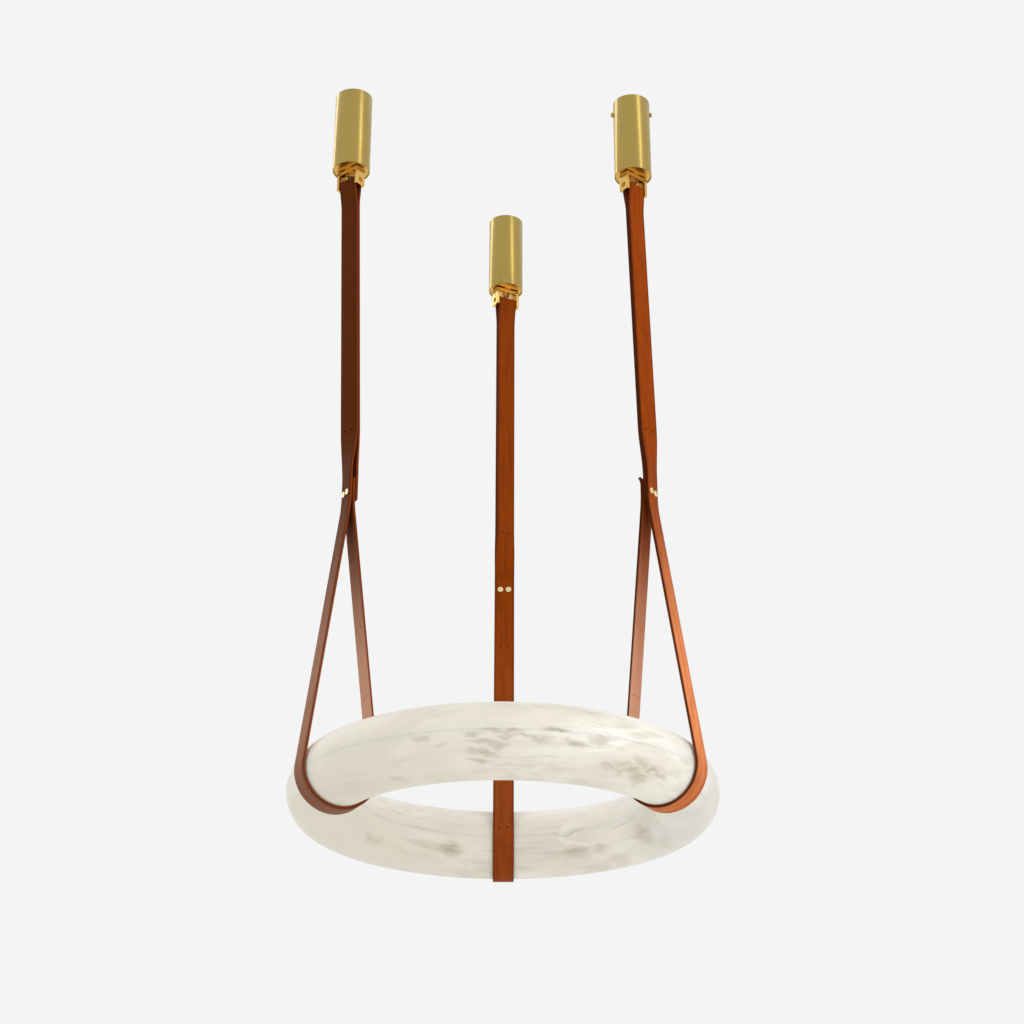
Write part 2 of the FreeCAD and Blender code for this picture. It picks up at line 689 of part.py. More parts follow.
def make_light():
    """A flat carrier on the floor of the lower half, with the light strip on it."""
    inner = "(tubeRadius - shellWall)"
    floor = "(seatGap - sqrt(%s * %s - carrierHalfWidth * carrierHalfWidth))" % (inner, inner)
    flat_ring("Carrier", "light_carrier", "carrierHalfWidth", "carrierThickness", floor)
    flat_ring("Strip", "light_strip", "stripWidth / 2", "stripThickness", "(%s + carrierThickness)" % floor)


# ---- electrical parts in the rear canopy ----

def make_electrics(side):
    driver = block("Driver", "driverWidth", "driverDepth", "driverHeight",
                   "driverOffset", "-driverDepth / 2", "%s + endPlateThickness" % PLATE_BOTTOM)
    node(at_canopy(group("DriverPlaced", driver), side), "light_driver")
    below = "-bracketBase - terminalHeight"
    terminal = block("Terminal", "terminalDepth", "terminalWidth", "terminalHeight",
                     "-terminalOffset - terminalDepth", "-terminalWidth / 2", below)
    node(at_canopy(group("TerminalPlaced", terminal), side), "terminal_block")


for side in SIDES:
    make_bracket(side)
    make_stud(side)
    hexagon_nut(side + "BracketNut", side + "_bracket_nut", side, "-bracketBase - nutHeight")
    hexagon_nut(side + "PlateNut", side + "_plate_nut", side, "%s + endPlateThickness" % PLATE_BOTTOM)
    make_cover(side)
    make_cover_screws(side)
    make_end_plate(side)
    make_washer(side)
    hexagon_nut(side + "SwivelNut", side + "_swivel_nut", side, "%s - nutHeight" % NUT_TOP)
    make_clevis(side)
    make_bar(side)
    make_strap(side)
    make_clamp(side)
make_shell("UpperShell", "upper_shell", True)
make_shell("LowerShell", "lower_shell", False)
node(group("Pins", *pin_cylinders("Pin", "pinRadius", "pinLength")), "locating_pins")
make_light()
make_electrics("rear")
doc.recompute()

# ---- checks and files ----

for item in doc.Objects:
    if "Invalid" in item.State or "Error" in item.State:
        raise RuntimeError("%s failed: %s" % (item.Name, item.State))
for item in nodes:
    if item.Shape.isNull() or not item.Shape.isValid() or not item.Shape.Solids:
        raise RuntimeError("%s has no sound shape" % item.Label)

os.makedirs("parts", exist_ok=True)
for item in nodes:
    item.Shape.exportStep("parts/%s.step" % item.Label)
print("%d sub-parts" % len(nodes))
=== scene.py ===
# %% [markdown]
# # A ring light of alabaster in three leather slings
#
# The solids of this light come from CAD and arrive as a fixed frame. This lesson dresses them: the
# pieces that are seen get finer shapes, every piece gets a finish made from nodes, and a camera looks
# up at the light as a person below it would. Everything is in metres, with the ceiling at height zero.

# %% Load the frame
import json
import math

import bmesh
import bpy
from mathutils import Matrix, Vector


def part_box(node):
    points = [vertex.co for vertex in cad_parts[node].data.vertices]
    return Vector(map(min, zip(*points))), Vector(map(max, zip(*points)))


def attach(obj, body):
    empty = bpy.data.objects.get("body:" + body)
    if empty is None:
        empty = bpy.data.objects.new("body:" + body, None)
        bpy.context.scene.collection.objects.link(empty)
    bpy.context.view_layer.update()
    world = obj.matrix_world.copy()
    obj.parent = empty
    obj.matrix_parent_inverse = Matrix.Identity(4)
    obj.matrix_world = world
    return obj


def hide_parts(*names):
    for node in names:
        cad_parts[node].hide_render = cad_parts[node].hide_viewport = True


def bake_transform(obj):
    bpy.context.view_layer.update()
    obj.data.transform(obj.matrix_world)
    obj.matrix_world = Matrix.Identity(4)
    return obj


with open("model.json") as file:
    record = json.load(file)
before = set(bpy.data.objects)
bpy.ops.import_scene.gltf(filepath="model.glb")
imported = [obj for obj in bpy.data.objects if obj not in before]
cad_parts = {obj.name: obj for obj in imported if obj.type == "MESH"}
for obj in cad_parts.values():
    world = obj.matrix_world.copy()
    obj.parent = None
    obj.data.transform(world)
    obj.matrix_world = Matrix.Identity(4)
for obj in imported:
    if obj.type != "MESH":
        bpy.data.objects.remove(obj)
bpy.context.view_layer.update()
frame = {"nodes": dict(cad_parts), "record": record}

# %% [markdown]
# ## The camera
#
# The light was seen from below and in front. Where the camera stands follows from how the round shapes
# look: the ring's hole gives the height, and the way in which the hangers draw together gives the
# distance. An aimed camera could be made with a Track To constraint. Here its three directions are
# worked out from its turn, rise and roll, because these were measured.

# %% Camera
STAND = Vector((0.0078, -2.7293, -1.911))
TURN, RISE, ROLL = 0.0013, 0.4299, 0.0026

ahead = Vector((math.sin(TURN) * math.cos(RISE), math.cos(TURN) * math.cos(RISE), math.sin(RISE)))
level = Vector((math.cos(TURN), -math.sin(TURN), 0))
above = level.cross(ahead)
across = level * math.cos(ROLL) + above * math.sin(ROLL)
upright = above * math.cos(ROLL) - level * math.sin(ROLL)

bpy.ops.object.camera_add()
camera = bpy.context.object
camera.name = "camera"
camera.matrix_world = Matrix((across, upright, -ahead)).transposed().to_4x4()
camera.location = STAND
camera.data.sensor_width = 36.0
camera.data.lens = 71.32
bpy.context.scene.camera = camera
bpy.context.scene.view_settings.view_transform = "Standard"
print("camera looks up by %.1f degrees" % math.degrees(RISE))

# %% [markdown]
# ## Two small helpers for modelling
#
# An operator works on whatever is selected, so each piece starts with nothing selected. In edit mode
# the parts of a mesh can be picked by hand or by a rule. A rule is used here, such as "all faces that
# look up", because it finds the same faces on every run.

# %% Start clean, and pick by rule
def start_clean():
    """Leaves edit mode and deselects everything."""
    if bpy.context.object and bpy.context.object.mode != "OBJECT":
        bpy.ops.object.mode_set(mode="OBJECT")
    bpy.ops.object.select_all(action="DESELECT")


def pick(kind, rule):
    """Selects the faces, edges or vertices of the mesh in edit mode that a rule accepts."""
    bpy.ops.mesh.select_mode(type=kind)
    bpy.ops.mesh.select_all(action="DESELECT")
    mesh = bmesh.from_edit_mesh(bpy.context.object.data)
    items = {"VERT": mesh.verts, "EDGE": mesh.edges, "FACE": mesh.faces}[kind]
    for item in items:
        if rule(item):
            item.select_set(True)
    mesh.select_flush_mode()
    bmesh.update_edit_mesh(bpy.context.object.data)


def settle():
    """Puts the object's size, turn and place into its mesh."""
    bpy.ops.object.transform_apply(location=True, rotation=True, scale=True)


def add_modifier(kind, **settings):
    """Adds a modifier to the active object, sets it up and applies it."""
    piece = bpy.context.object
    modifier = piece.modifiers.new(kind.lower(), kind)
    for name, value in settings.items():
        setattr(modifier, name, value)
    bpy.ops.object.modifier_apply(modifier=modifier.name)


def take_away(cutter):
    """Cuts the shape of another object out of the active one, and removes that object."""
    add_modifier("BOOLEAN", operation="DIFFERENCE", solver="EXACT", object=cutter)
    bpy.data.objects.remove(cutter, do_unlink=True)


def work_on(piece):
    """Makes one object the selected and active one."""
    start_clean()
    piece.select_set(True)
    bpy.context.view_layer.objects.active = piece


# %% [markdown]
# ## Finishes from nodes
#
# A finish is a tree of shader nodes. It could be wired by hand in the shader editor. Written out as
# sums it is shorter and easier to read: a small class stands for one socket, and adding or multiplying
# two of them adds the Math node that does it.

# %% Sockets that can be added and multiplied
class Value:
    """One number or colour of a finish, as the socket that gives it."""

    def __init__(self, finish, socket):
        self.finish = finish
        self.socket = socket

    def __add__(self, other):
        return self.finish.math("ADD", self, other)

    def __sub__(self, other):
        return self.finish.math("SUBTRACT", self, other)

    def __rsub__(self, other):
        return self.finish.math("SUBTRACT", other, self)

    def __mul__(self, other):
        return self.finish.math("MULTIPLY", self, other)

    __radd__ = __add__
    __rmul__ = __mul__


# %% [markdown]
# ## A finish under construction
#
# Every finish starts as a new material with its one Principled surface. Any other node comes from one
# method, which takes the node's type, its settings and its inputs. Colours are written as a screen shows
# them, because that is how they are judged, and are turned into the linear ones that a shader needs.

# %% Finishes and colours
class Finish:
    """A material under construction."""

    def __init__(self, name):
        self.material = bpy.data.materials.new(name)
        self.material.use_nodes = True
        self.tree = self.material.node_tree
        self.surface = self.tree.nodes["Principled BSDF"]

    def node(self, kind, settings=None, inputs=None, output=0):
        """Adds a node: first its settings, then its inputs, which are values or other nodes."""
        node = self.tree.nodes.new("ShaderNode" + kind)
        for name, value in (settings or {}).items():
            setattr(node, name, value)
        for name, value in (inputs or {}).items():
            self.feed(node.inputs[name], value)
        return Value(self, node.outputs[output])

    def feed(self, socket, value):
        """Links a value to a socket, or sets the socket to a plain number or colour."""
        if isinstance(value, Value):
            self.tree.links.new(value.socket, socket)
        else:
            socket.default_value = value

    def math(self, operation, first, second):
        return self.node("Math", {"operation": operation}, {0: first, 1: second})

    def ramp(self, value, low, high):
        """Goes smoothly from 0 to 1 while a value goes from low to high."""
        return self.node("MapRange", {"interpolation_type": "SMOOTHSTEP"},
                         {"Value": value, "From Min": low, "From Max": high})

    def mix(self, share, first, second):
        """Goes from one colour to another."""
        return self.node("Mix", {"data_type": "RGBA"}, {0: share, 6: first, 7: second}, output=2)

    def place(self, scale=(1, 1, 1)):
        """The place on the object, with a larger scale where the pattern is to be finer."""
        here = self.node("TexCoord", output=3)
        return self.node("Mapping", None, {"Vector": here, "Scale": scale})

    def noise(self, where, scale, detail=3.0, roughness=0.5):
        """A soft noise from 0 to 1, with more detail for finer grain."""
        return self.node("TexNoise", None, {"Vector": where, "Scale": scale, "Detail": detail,
                                            "Roughness": roughness})

    def bump(self, height, depth):
        """A normal that shows a height of 0 to 1 as a relief so many metres deep."""
        return self.node("Bump", None, {"Height": height, "Distance": depth, "Strength": 1.0})

    def wear(self, **sockets):
        """Sets the sockets of the surface; an underscore in a name stands for a space."""
        for name, value in sockets.items():
            self.feed(self.surface.inputs[name.replace("_", " ")], value)
        return self.material


def tone(red, green, blue):
    """A colour as a screen shows it, from 0 to 255, as the linear colour that a shader needs."""
    def linear(level):
        level /= 255.0
        return level / 12.92 if level <= 0.04045 else ((level + 0.055) / 1.055) ** 2.4
    return (linear(red), linear(green), linear(blue), 1.0)


# %% [markdown]
# ## Alabaster
#
# Alabaster is a soft, milky stone. Light goes a little way into it, so it has no hard shadows. Its
# pattern has several layers: broad cloudy areas, greyer veils, fine wisps and feathers, grey flecks and
# thin pale veins. They all run round the ring more than up and down, so their coordinates are squeezed
# sideways. It could be painted, but noise on the object's coordinates goes right through the stone.

# %% Alabaster: clouds, veils, wisps and veins
stone = Finish("alabaster")
here = stone.node("TexCoord", output=3)


def shifted(where, amount, scale, detail):
    """Coordinates shifted about by a soft noise."""
    drift = stone.node("TexNoise", None, {"Vector": where, "Scale": scale, "Detail": detail}, output=1)
    return stone.node("Mix", {"data_type": "RGBA", "blend_type": "LINEAR_LIGHT"},
                      {0: amount, 6: where, 7: drift}, output=2)


def squeezed(flat_scale, amount):
    """Shifted coordinates that are squeezed along the ring, so that a pattern on them is stretched."""
    return shifted(stone.place(scale=(flat_scale, flat_scale, 1.3)), amount, 7.0, 3.0)


bent = squeezed(0.5, 0.07)
clouds = stone.ramp(stone.noise(bent, 5.5, 5.0, roughness=0.6), 0.38, 0.66)
veils = stone.ramp(stone.noise(bent, 3.4, 3.0), 0.50, 0.62)
wisps = stone.ramp(stone.noise(squeezed(0.22, 0.05), 34.0, 5.0, roughness=0.6), 0.50, 0.72)
feathers = stone.ramp(stone.noise(squeezed(0.16, 0.04), 62.0, 6.0, roughness=0.65), 0.50, 0.64)
feathered = feathers * stone.ramp(stone.noise(bent, 3.8, 2.0), 0.46, 0.60)
cells = stone.node("TexVoronoi", {"feature": "DISTANCE_TO_EDGE"},
                   {"Vector": squeezed(0.3, 0.09), "Scale": 8.0})
veins = (1.0 - stone.ramp(cells, 0.0, 0.035)) * stone.ramp(stone.noise(bent, 4.3, 2.0), 0.48, 0.66)
grain = stone.noise(bent, 60.0, 6.0)

# %% [markdown]
# ## Flecks in the stone
#
# The larger grey flecks stand out, so each of them has its own place. They could be painted on an image,
# which would need an unwrapped ring. A squashed ball of colour is enough: it is full in its middle and
# fades outwards, on coordinates that are a little ragged. Small ones are scattered by noise.

# %% Alabaster: flecks
RING_RADIUS, TUBE_RADIUS = 0.250, 0.050
RING_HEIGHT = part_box("upper_shell")[0][2]
FLECK_DEPTH = 0.020
# each one: ring angle in degrees, height, outer (1) or inner (-1) face, length, thickness, strength
FLECKS = [(250, -0.006, 1, 0.030, 0.012, 0.7), (255, -0.015, 1, 0.030, 0.008, 0.5),
          (263, -0.007, 1, 0.034, 0.012, 0.9), (268, -0.003, 1, 0.032, 0.009, 0.9),
          (265, -0.028, 1, 0.050, 0.009, 0.9), (266, -0.018, 1, 0.060, 0.008, 0.8),
          (271, -0.011, 1, 0.036, 0.008, 0.9), (272, -0.004, 1, 0.034, 0.009, 1.0),
          (275, -0.008, 1, 0.028, 0.007, 0.8), (269, -0.021, 1, 0.034, 0.009, 0.9),
          (264, -0.038, 1, 0.030, 0.007, 0.7), (279, -0.010, 1, 0.040, 0.012, 0.8),
          (283, 0.000, 1, 0.038, 0.009, 1.0), (288, -0.013, 1, 0.044, 0.009, 0.8),
          (295, -0.006, 1, 0.048, 0.010, 0.9), (301, -0.028, 1, 0.034, 0.012, 0.6),
          (298, -0.034, 1, 0.040, 0.009, 0.7), (307, -0.020, 1, 0.034, 0.015, 0.8),
          (304, -0.036, 1, 0.050, 0.008, 0.8), (309, -0.040, 1, 0.046, 0.013, 0.8),
          (312, -0.030, 1, 0.030, 0.009, 0.8), (315, -0.034, 1, 0.026, 0.011, 0.7),
          (240, -0.044, 1, 0.022, 0.008, 0.6), (244, -0.031, 1, 0.030, 0.007, 0.4),
          (112, -0.022, -1, 0.044, 0.026, 1.0), (150, -0.030, -1, 0.060, 0.016, 0.5),
          (60, -0.032, -1, 0.054, 0.020, 0.6), (47, -0.031, -1, 0.040, 0.012, 0.7),
          (61, -0.001, -1, 0.060, 0.007, 0.6), (20, -0.030, -1, 0.060, 0.030, 0.6),
          (292, 0.034, 1, 0.070, 0.026, 0.45), (272, 0.036, 1, 0.110, 0.024, 0.35),
          (250, 0.028, 1, 0.130, 0.020, 0.3)]
ragged = shifted(here, 0.014, 34.0, 4.0)


def fleck(angle, height, face, length, thickness, strength):
    """A soft grey lens in the stone, just under its surface."""
    radius = RING_RADIUS + face * math.sqrt(TUBE_RADIUS ** 2 - height ** 2)
    turn = math.radians(angle)
    spot = (radius * math.cos(turn), radius * math.sin(turn), height + RING_HEIGHT)
    near = stone.node("Mapping", {"vector_type": "TEXTURE"},
                      {"Vector": ragged, "Location": spot, "Rotation": (0, 0, turn + math.pi / 2),
                       "Scale": (length / 2, FLECK_DEPTH, thickness / 2)})
    away = stone.node("VectorMath", {"operation": "LENGTH"}, {0: near}, output=1)
    return (1.0 - stone.ramp(away, 0.1, 1.3)) * strength


flecks = fleck(*FLECKS[0])
for values in FLECKS[1:]:
    flecks = stone.math("MAXIMUM", flecks, fleck(*values))
scattered = stone.ramp(stone.noise(bent, 17.0, 3.0), 0.60, 0.68)
scattered = scattered * stone.ramp(stone.noise(bent, 3.1, 2.0), 0.5, 0.62)
flecks = stone.math("MAXIMUM", flecks, scattered * 0.45)
print(len(FLECKS), "placed flecks")

# %% [markdown]
# ## The stone's layers together
#
# Each layer is mixed over the one before it, from the broad clouds to the small flecks. A little light
# goes into the stone, about 8 mm, so that its shadows are soft.

# %% Alabaster: the layers together
cream = stone.mix(clouds, tone(238, 234, 224), tone(222, 216, 202))
veiled = stone.mix(veils * 0.6, cream, tone(208, 204, 197))
wispy = stone.mix(wisps * 0.35, veiled, tone(206, 198, 184))
feathery = stone.mix(feathered * 0.45, wispy, tone(198, 190, 174))
veined = stone.mix(veins * 0.6, feathery, tone(248, 245, 238))
alabaster = stone.wear(
    Base_Color=stone.mix(flecks * (0.7 + feathers * 0.35), veined, tone(184, 175, 157)),
    Roughness=0.42 + grain * 0.12,
    Normal=stone.bump(grain, 0.0002),
    IOR=1.52,
    Subsurface_Weight=0.35,
    Subsurface_Radius=(1.0, 0.85, 0.65),
    Subsurface_Scale=0.008,
)

# %% [markdown]
# ## Brass
#
# The canopies are turned brass tubes with a satin finish: fine lines run round the tube, so a lamp is
# mirrored as a soft upright band. The lines are a noise that is stretched hard along the tube's girth.
# The fork, the bar and the other fittings at a cover's foot get a warmer and brighter brass: a painted
# reflection of the warm light that bounces up into their undersides. The small screw heads are paler
# and polished. One function makes all three.

# %% Satin, fitting and polished brass
def make_brass(name, colour, dull, relief):
    """Brass with a faint tarnish and fine lines round it, whose relief is a depth in metres."""
    brass = Finish(name)
    lines = brass.noise(brass.place(scale=(1, 1, 60)), 35.0, 4.0)
    smear = brass.noise(brass.place(), 22.0, 3.0)
    tarnish = brass.ramp(smear, 0.5, 0.8)
    return brass.wear(
        Base_Color=brass.mix(tarnish * 0.35, colour, tone(146, 118, 54)),
        Metallic=1.0,
        Roughness=dull + lines * 0.06 + smear * 0.06,
        Normal=brass.bump(lines, relief),
    )


satin_brass = make_brass("satin_brass", tone(173, 149, 82), 0.22, 0.000002)
# painted reflection: warmer and brighter, for the warm light that bounces into the fittings' undersides
fitting_brass = make_brass("fitting_brass", tone(220, 178, 98), 0.20, 0.00001)
polished_brass = make_brass("polished_brass", tone(244, 226, 178), 0.14, 0.000005)

# %% [markdown]
# ## Leather
#
# The straps are bridle leather: smooth and waxed on the outside, rougher on the flesh side, with cut
# edges that are rubbed with wax. A line is pressed in near each edge. The pattern must follow the strap
# round its bends, so each point keeps the place it had on the flat leather, in an attribute called
# "flat": across, along and through, in millimetres. A second attribute, "hide", holds painted light:
# how much painted shade darkens this strap, which hangs turned away from the key lamp, and how much
# painted sheen pales its legs.

# %% Leather: zones of the strap
hide = Finish("bridle_leather")


def attribute_parts(name):
    """An attribute of the strap's points as a vector, and its three numbers."""
    vector = hide.node("Attribute", {"attribute_name": name}, output=1)
    parts = hide.node("SeparateXYZ", None, {0: vector})
    return [vector] + [Value(hide, output) for output in parts.socket.node.outputs]


def plateau(value, rise, full, fade, gone):
    """Goes from 0 to 1 and back while a value passes four marks."""
    return hide.ramp(value, rise, full) * (1.0 - hide.ramp(value, fade, gone))


# marks in millimetres from the strap's first end, and lines in millimetres from its middle
LEGS, WRAP = (1060.0, 1400.0, 1740.0, 2080.0), (1440.0, 1540.0, 1640.0, 1740.0)
CREASE_LINE, RIM, CUT = 12.9, (13.8, 15.2), (14.9, 15.3)

flat, sideways, along, through = attribute_parts("flat")
# the "hide" attribute is painted light: painted shade for a strap turned away from the key lamp, and
# painted sheen on its legs
_, painted_shade_share, painted_sheen_share, _ = attribute_parts("hide")
from_middle = hide.math("ABSOLUTE", sideways, 0.0)

cut_edge = 1.0 - hide.ramp(hide.math("ABSOLUTE", through, 0.0), 0.9, 1.8)
cut_edge = cut_edge * hide.ramp(from_middle, *CUT)
flesh = 1.0 - hide.ramp(through, -0.5, 0.5)
crease = 1.0 - hide.ramp(hide.math("ABSOLUTE", from_middle - CREASE_LINE, 0.0), 0.15, 0.55)
rim = hide.ramp(from_middle, *RIM)
leg, wrap = plateau(along, *LEGS), plateau(along, *WRAP)
# painted sheen: the legs are paled where the real leather catches a pale reflection, less so round the tube
painted_leg_sheen = leg * painted_sheen_share * (1.0 - wrap * 0.4)

# %% [markdown]
# ## The leather's colours
#
# The hide is brown with long streaks and a slow mottle. A strap turned away from the key lamp gets a
# darker brown as painted shade, and the legs get a paler colour as painted sheen, most of all on the
# flesh side. Its cut edges are dark, but on the shaded strap they are a lighter orange, a painted lit
# edge. Its shine is low, because the wax has sunk in.

# %% Leather: colours and relief
streaks = hide.noise(hide.node("Mapping", None, {"Vector": flat, "Scale": (0.22, 0.012, 0.2)}), 1.0, 4.0)
mottle = hide.noise(hide.node("Mapping", None, {"Vector": flat, "Scale": (0.08, 0.03, 0.08)}), 1.0, 4.0)
pores = hide.node("TexVoronoi", None, {"Vector": flat, "Scale": 1.6})
fibres = hide.noise(flat, 1.3, 6.0, roughness=0.7)

# painted shade: the strap turned away from the key lamp gets a darker brown
base_with_painted_shade = hide.mix(painted_shade_share, tone(150, 62, 2), tone(84, 38, 4))
# painted sheen: the paler colour that the legs take on, one for each kind of strap
painted_sheen_tone = hide.mix(painted_shade_share, tone(236, 142, 88), tone(160, 114, 90))
base_with_painted_shade_and_sheen = hide.mix(painted_leg_sheen, base_with_painted_shade, painted_sheen_tone)
mottled = hide.mix(hide.ramp(mottle, 0.35, 0.75) * 0.25, base_with_painted_shade_and_sheen, tone(96, 40, 8))
streaky = hide.mix(hide.ramp(streaks, 0.45, 0.7) * 0.35, mottled, tone(90, 38, 8))
# painted sheen on the flesh side of the legs, which is paled most
pale_flesh_sheen = hide.mix(fibres, tone(232, 184, 156), tone(196, 150, 124))
rough_side = hide.mix(flesh * 0.25, streaky, hide.mix(fibres, tone(140, 74, 26), tone(100, 50, 16)))
flesh_with_painted_sheen = hide.mix(flesh * painted_leg_sheen * 0.7, rough_side, pale_flesh_sheen)
edged = hide.mix(rim * 0.7 * (1.0 - flesh * painted_leg_sheen), flesh_with_painted_sheen, tone(52, 21, 6))
# the cut edges are dark wax; on the shaded strap they are a lighter orange, a painted lit edge
waxed_and_lit_edges = hide.mix(cut_edge * 0.9, edged, hide.mix(painted_shade_share, tone(62, 24, 5), tone(128, 54, 16)))
pressed = hide.mix(crease * (1.0 - flesh) * 0.5, waxed_and_lit_edges, tone(66, 26, 6))

bridle_leather = hide.wear(
    Base_Color=pressed,
    Roughness=0.5 + flesh * 0.2 + streaks * 0.08,
    Normal=hide.bump(0.35 * pores + fibres * 0.3 * (0.3 + flesh) - crease * 1.2, 0.0002),
    Specular_IOR_Level=0.03,
)

# %% [markdown]
# ## Plain finishes for the hidden pieces
#
# Brackets, studs and nuts are zinc plated steel, the light's carrier is aluminium, and the driver's case
# is moulded plastic. They are seen only from above or with a cover slid down, so a mottle in the colour
# and a fine relief are enough.

# %% Zinc, aluminium and plastics
def make_plain(name, light, dark, metal, dull, size, relief):
    """Two near colours in a mottle; a larger size gives smaller spots."""
    plain = Finish(name)
    spots = plain.noise(plain.place(), size, 4.0)
    return plain.wear(
        Base_Color=plain.mix(plain.ramp(spots, 0.35, 0.7), light, dark),
        Metallic=metal,
        Roughness=dull + spots * 0.15,
        Normal=plain.bump(spots, relief),
    )


zinc = make_plain("zinc_steel", tone(196, 197, 196), tone(172, 172, 168), 1.0, 0.28, 90.0, 0.00003)
aluminium = make_plain("plain_aluminium", tone(205, 206, 208), tone(190, 191, 194), 1.0, 0.30, 60.0,
                       0.00003)
strip_white = make_plain("light_strip_white", tone(243, 240, 228), tone(232, 226, 206), 0.0, 0.45, 120.0,
                         0.00005)
casing = make_plain("driver_plastic", tone(222, 222, 220), tone(212, 212, 209), 0.0, 0.42, 300.0,
                    0.00006)

# %% [markdown]
# ## Dress the solids
#
# Every solid of the frame gets its finish now. The finer pieces, which are made next, replace some of
# them, and the others are seen as they are. The small fittings at a cover's foot are picked by the end
# of their names, and wear the brighter brass whose warmth is a painted reflection.

# %% Finishes by name, and the solids that wear them
FINISHES = {"alabaster": alabaster, "satin_brass": satin_brass, "fitting_brass": fitting_brass,
            "polished_brass": polished_brass, "bridle_leather": bridle_leather, "zinc_steel": zinc,
            "plain_aluminium": aluminium, "light_strip_white": strip_white, "driver_plastic": casing}
# these fittings wear the brighter brass, whose warmth is a painted reflection
PAINTED_REFLECTION_FITTINGS = ("end_plate", "thrust_washer", "swivel_nut")

for entry in frame["record"]["subparts"]:
    solid = frame["nodes"][entry["node"]]
    finish = "fitting_brass" if entry["node"].endswith(PAINTED_REFLECTION_FITTINGS) else entry["material_slot"]
    solid.data.materials.clear()
    solid.data.materials.append(FINISHES[finish])
print(len(frame["nodes"]), "solids dressed in", len(FINISHES), "finishes")

# %% [markdown]
# ## Handing a piece over
#
# Each finished piece gets its name and finish, hangs on the body that it moves with, and stands for one
# or more solids of the frame. That is always the same, so it is one function.

# %% Hand a finished piece over to the frame
def hand_over(piece, name, finish, body, *nodes):
    """Names and dresses a piece; a strap is given no body."""
    piece.name = name
    piece.data.name = name
    piece.data.materials.clear()
    piece.data.materials.append(FINISHES[finish])
    if body:
        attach(piece, body)
    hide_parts(*nodes)
    print("%s: %d faces" % (name, len(piece.data.polygons)))


# %% [markdown]
# ## The ring
#
# The ring is a hollow tube of alabaster, turned in two halves that meet at its middle, with a fine groove
# where they meet. A torus primitive would give a full tube. A half is made as a turner would see it: the
# half circle of its profile is spun round the light's axis, and Solidify gives the wall its thickness.

# %% One half of the ring
WALL = 0.010
SEAM = 0.0001


def make_half(way):
    """Spins the half circle above (way 1) or below (way -1) the middle of the tube."""
    start_clean()
    middle = (RING_RADIUS, 0, RING_HEIGHT)
    bpy.ops.mesh.primitive_circle_add(vertices=96, radius=TUBE_RADIUS, location=middle,
                                      rotation=(math.pi / 2, 0, 0))
    settle()
    bpy.ops.object.mode_set(mode="EDIT")
    bpy.ops.mesh.select_all(action="SELECT")
    bpy.ops.mesh.bisect(plane_co=(RING_RADIUS, 0, RING_HEIGHT + way * SEAM), plane_no=(0, 0, way),
                        clear_inner=True)
    bpy.ops.mesh.select_all(action="SELECT")
    bpy.ops.mesh.spin(steps=240, angle=2 * math.pi, center=(0, 0, RING_HEIGHT), axis=(0, 0, 1))
    bpy.ops.mesh.select_all(action="SELECT")
    bpy.ops.mesh.remove_doubles(threshold=0.00005)
    bpy.ops.object.mode_set(mode="OBJECT")
    half = bpy.context.object
    outward = sum(face.normal.z for face in half.data.polygons)
    if outward * way < 0:
        half.data.flip_normals()
    add_modifier("SOLIDIFY", thickness=WALL, offset=-1.0)
    add_modifier("BEVEL", width=0.0003, segments=2, limit_method="ANGLE", angle_limit=math.radians(50))
    bpy.ops.object.shade_smooth_by_angle(angle=math.radians(40))
    return half


hand_over(make_half(1), "upper_half", "alabaster", "ring", "upper_shell")
hand_over(make_half(-1), "lower_half", "alabaster", "ring", "lower_shell")

# %% [markdown]
# ## The three hangers
#
# The hangers are alike, but each canopy stands at its own place, and each sling holds the ring at its own
# angle. Their places are kept in one table, as a distance from the ring's axis and an angle in degrees.
# The table also says how far the bar is turned against its sling, and how far the clamp leans towards
# the ring's axis, because no strap hangs quite straight.

# %% Places
PLACES = {
    "left": {"canopy": (0.262, 205.0), "sling": 207.0, "twist": 25.0, "lean": 0.003},
    "rear": {"canopy": (0.245, 90.0), "sling": 90.0, "twist": 29.0, "lean": 0.002},
    "right": {"canopy": (0.220, 333.4), "sling": 330.0, "twist": -20.0, "lean": 0.012},
}
COVER_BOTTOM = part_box("rear_canopy_cover")[0][2]
BAR_DROP = 0.022
BAR_HEIGHT = COVER_BOTTOM - BAR_DROP
CLAMP_RISE = 0.412


def round_about(distance, angle, height=0.0):
    """The point at a distance from the ring's axis, in a direction."""
    turn = math.radians(angle)
    return Vector((distance * math.cos(turn), distance * math.sin(turn), height))


def frame_at(point, angle):
    """X turned by an angle about the vertical, at a point."""
    return Matrix.Translation(point) @ Matrix.Rotation(math.radians(angle), 4, "Z")


def canopy_frame(side, turn=0.0):
    """At the ceiling on the canopy's own axis, with X turned by an angle."""
    return frame_at(round_about(*PLACES[side]["canopy"]), turn)


def bar_frame(side):
    """At the canopy, with X along the bar."""
    return canopy_frame(side, PLACES[side]["sling"] - 90 + PLACES[side]["twist"])


def sling_frame(side):
    """At the centre of the tube, with X along the ring and Y outwards."""
    angle = PLACES[side]["sling"]
    return frame_at(round_about(RING_RADIUS, angle, RING_HEIGHT), angle - 90)


def copy_to(pattern, place):
    """A copy of a piece, with its own mesh, moved to a place."""
    copy = pattern.copy()
    copy.data = pattern.data.copy()
    copy.data.transform(place)
    bpy.context.scene.collection.objects.link(copy)
    return copy


print("bar height %.3f m" % BAR_HEIGHT)

# %% [markdown]
# ## The canopy cover
#
# The cover is a thin brass tube with a softly rounded rim, open at both ends. It could be lathed from a
# profile, as the ring is. An open cylinder is quicker here: Solidify gives it its wall, and a bevel on
# the sharp edges rounds the rim.

# %% Canopy cover
COVER_RADIUS, COVER_TOP, COVER_WALL = 0.0285, -0.0005, 0.0015


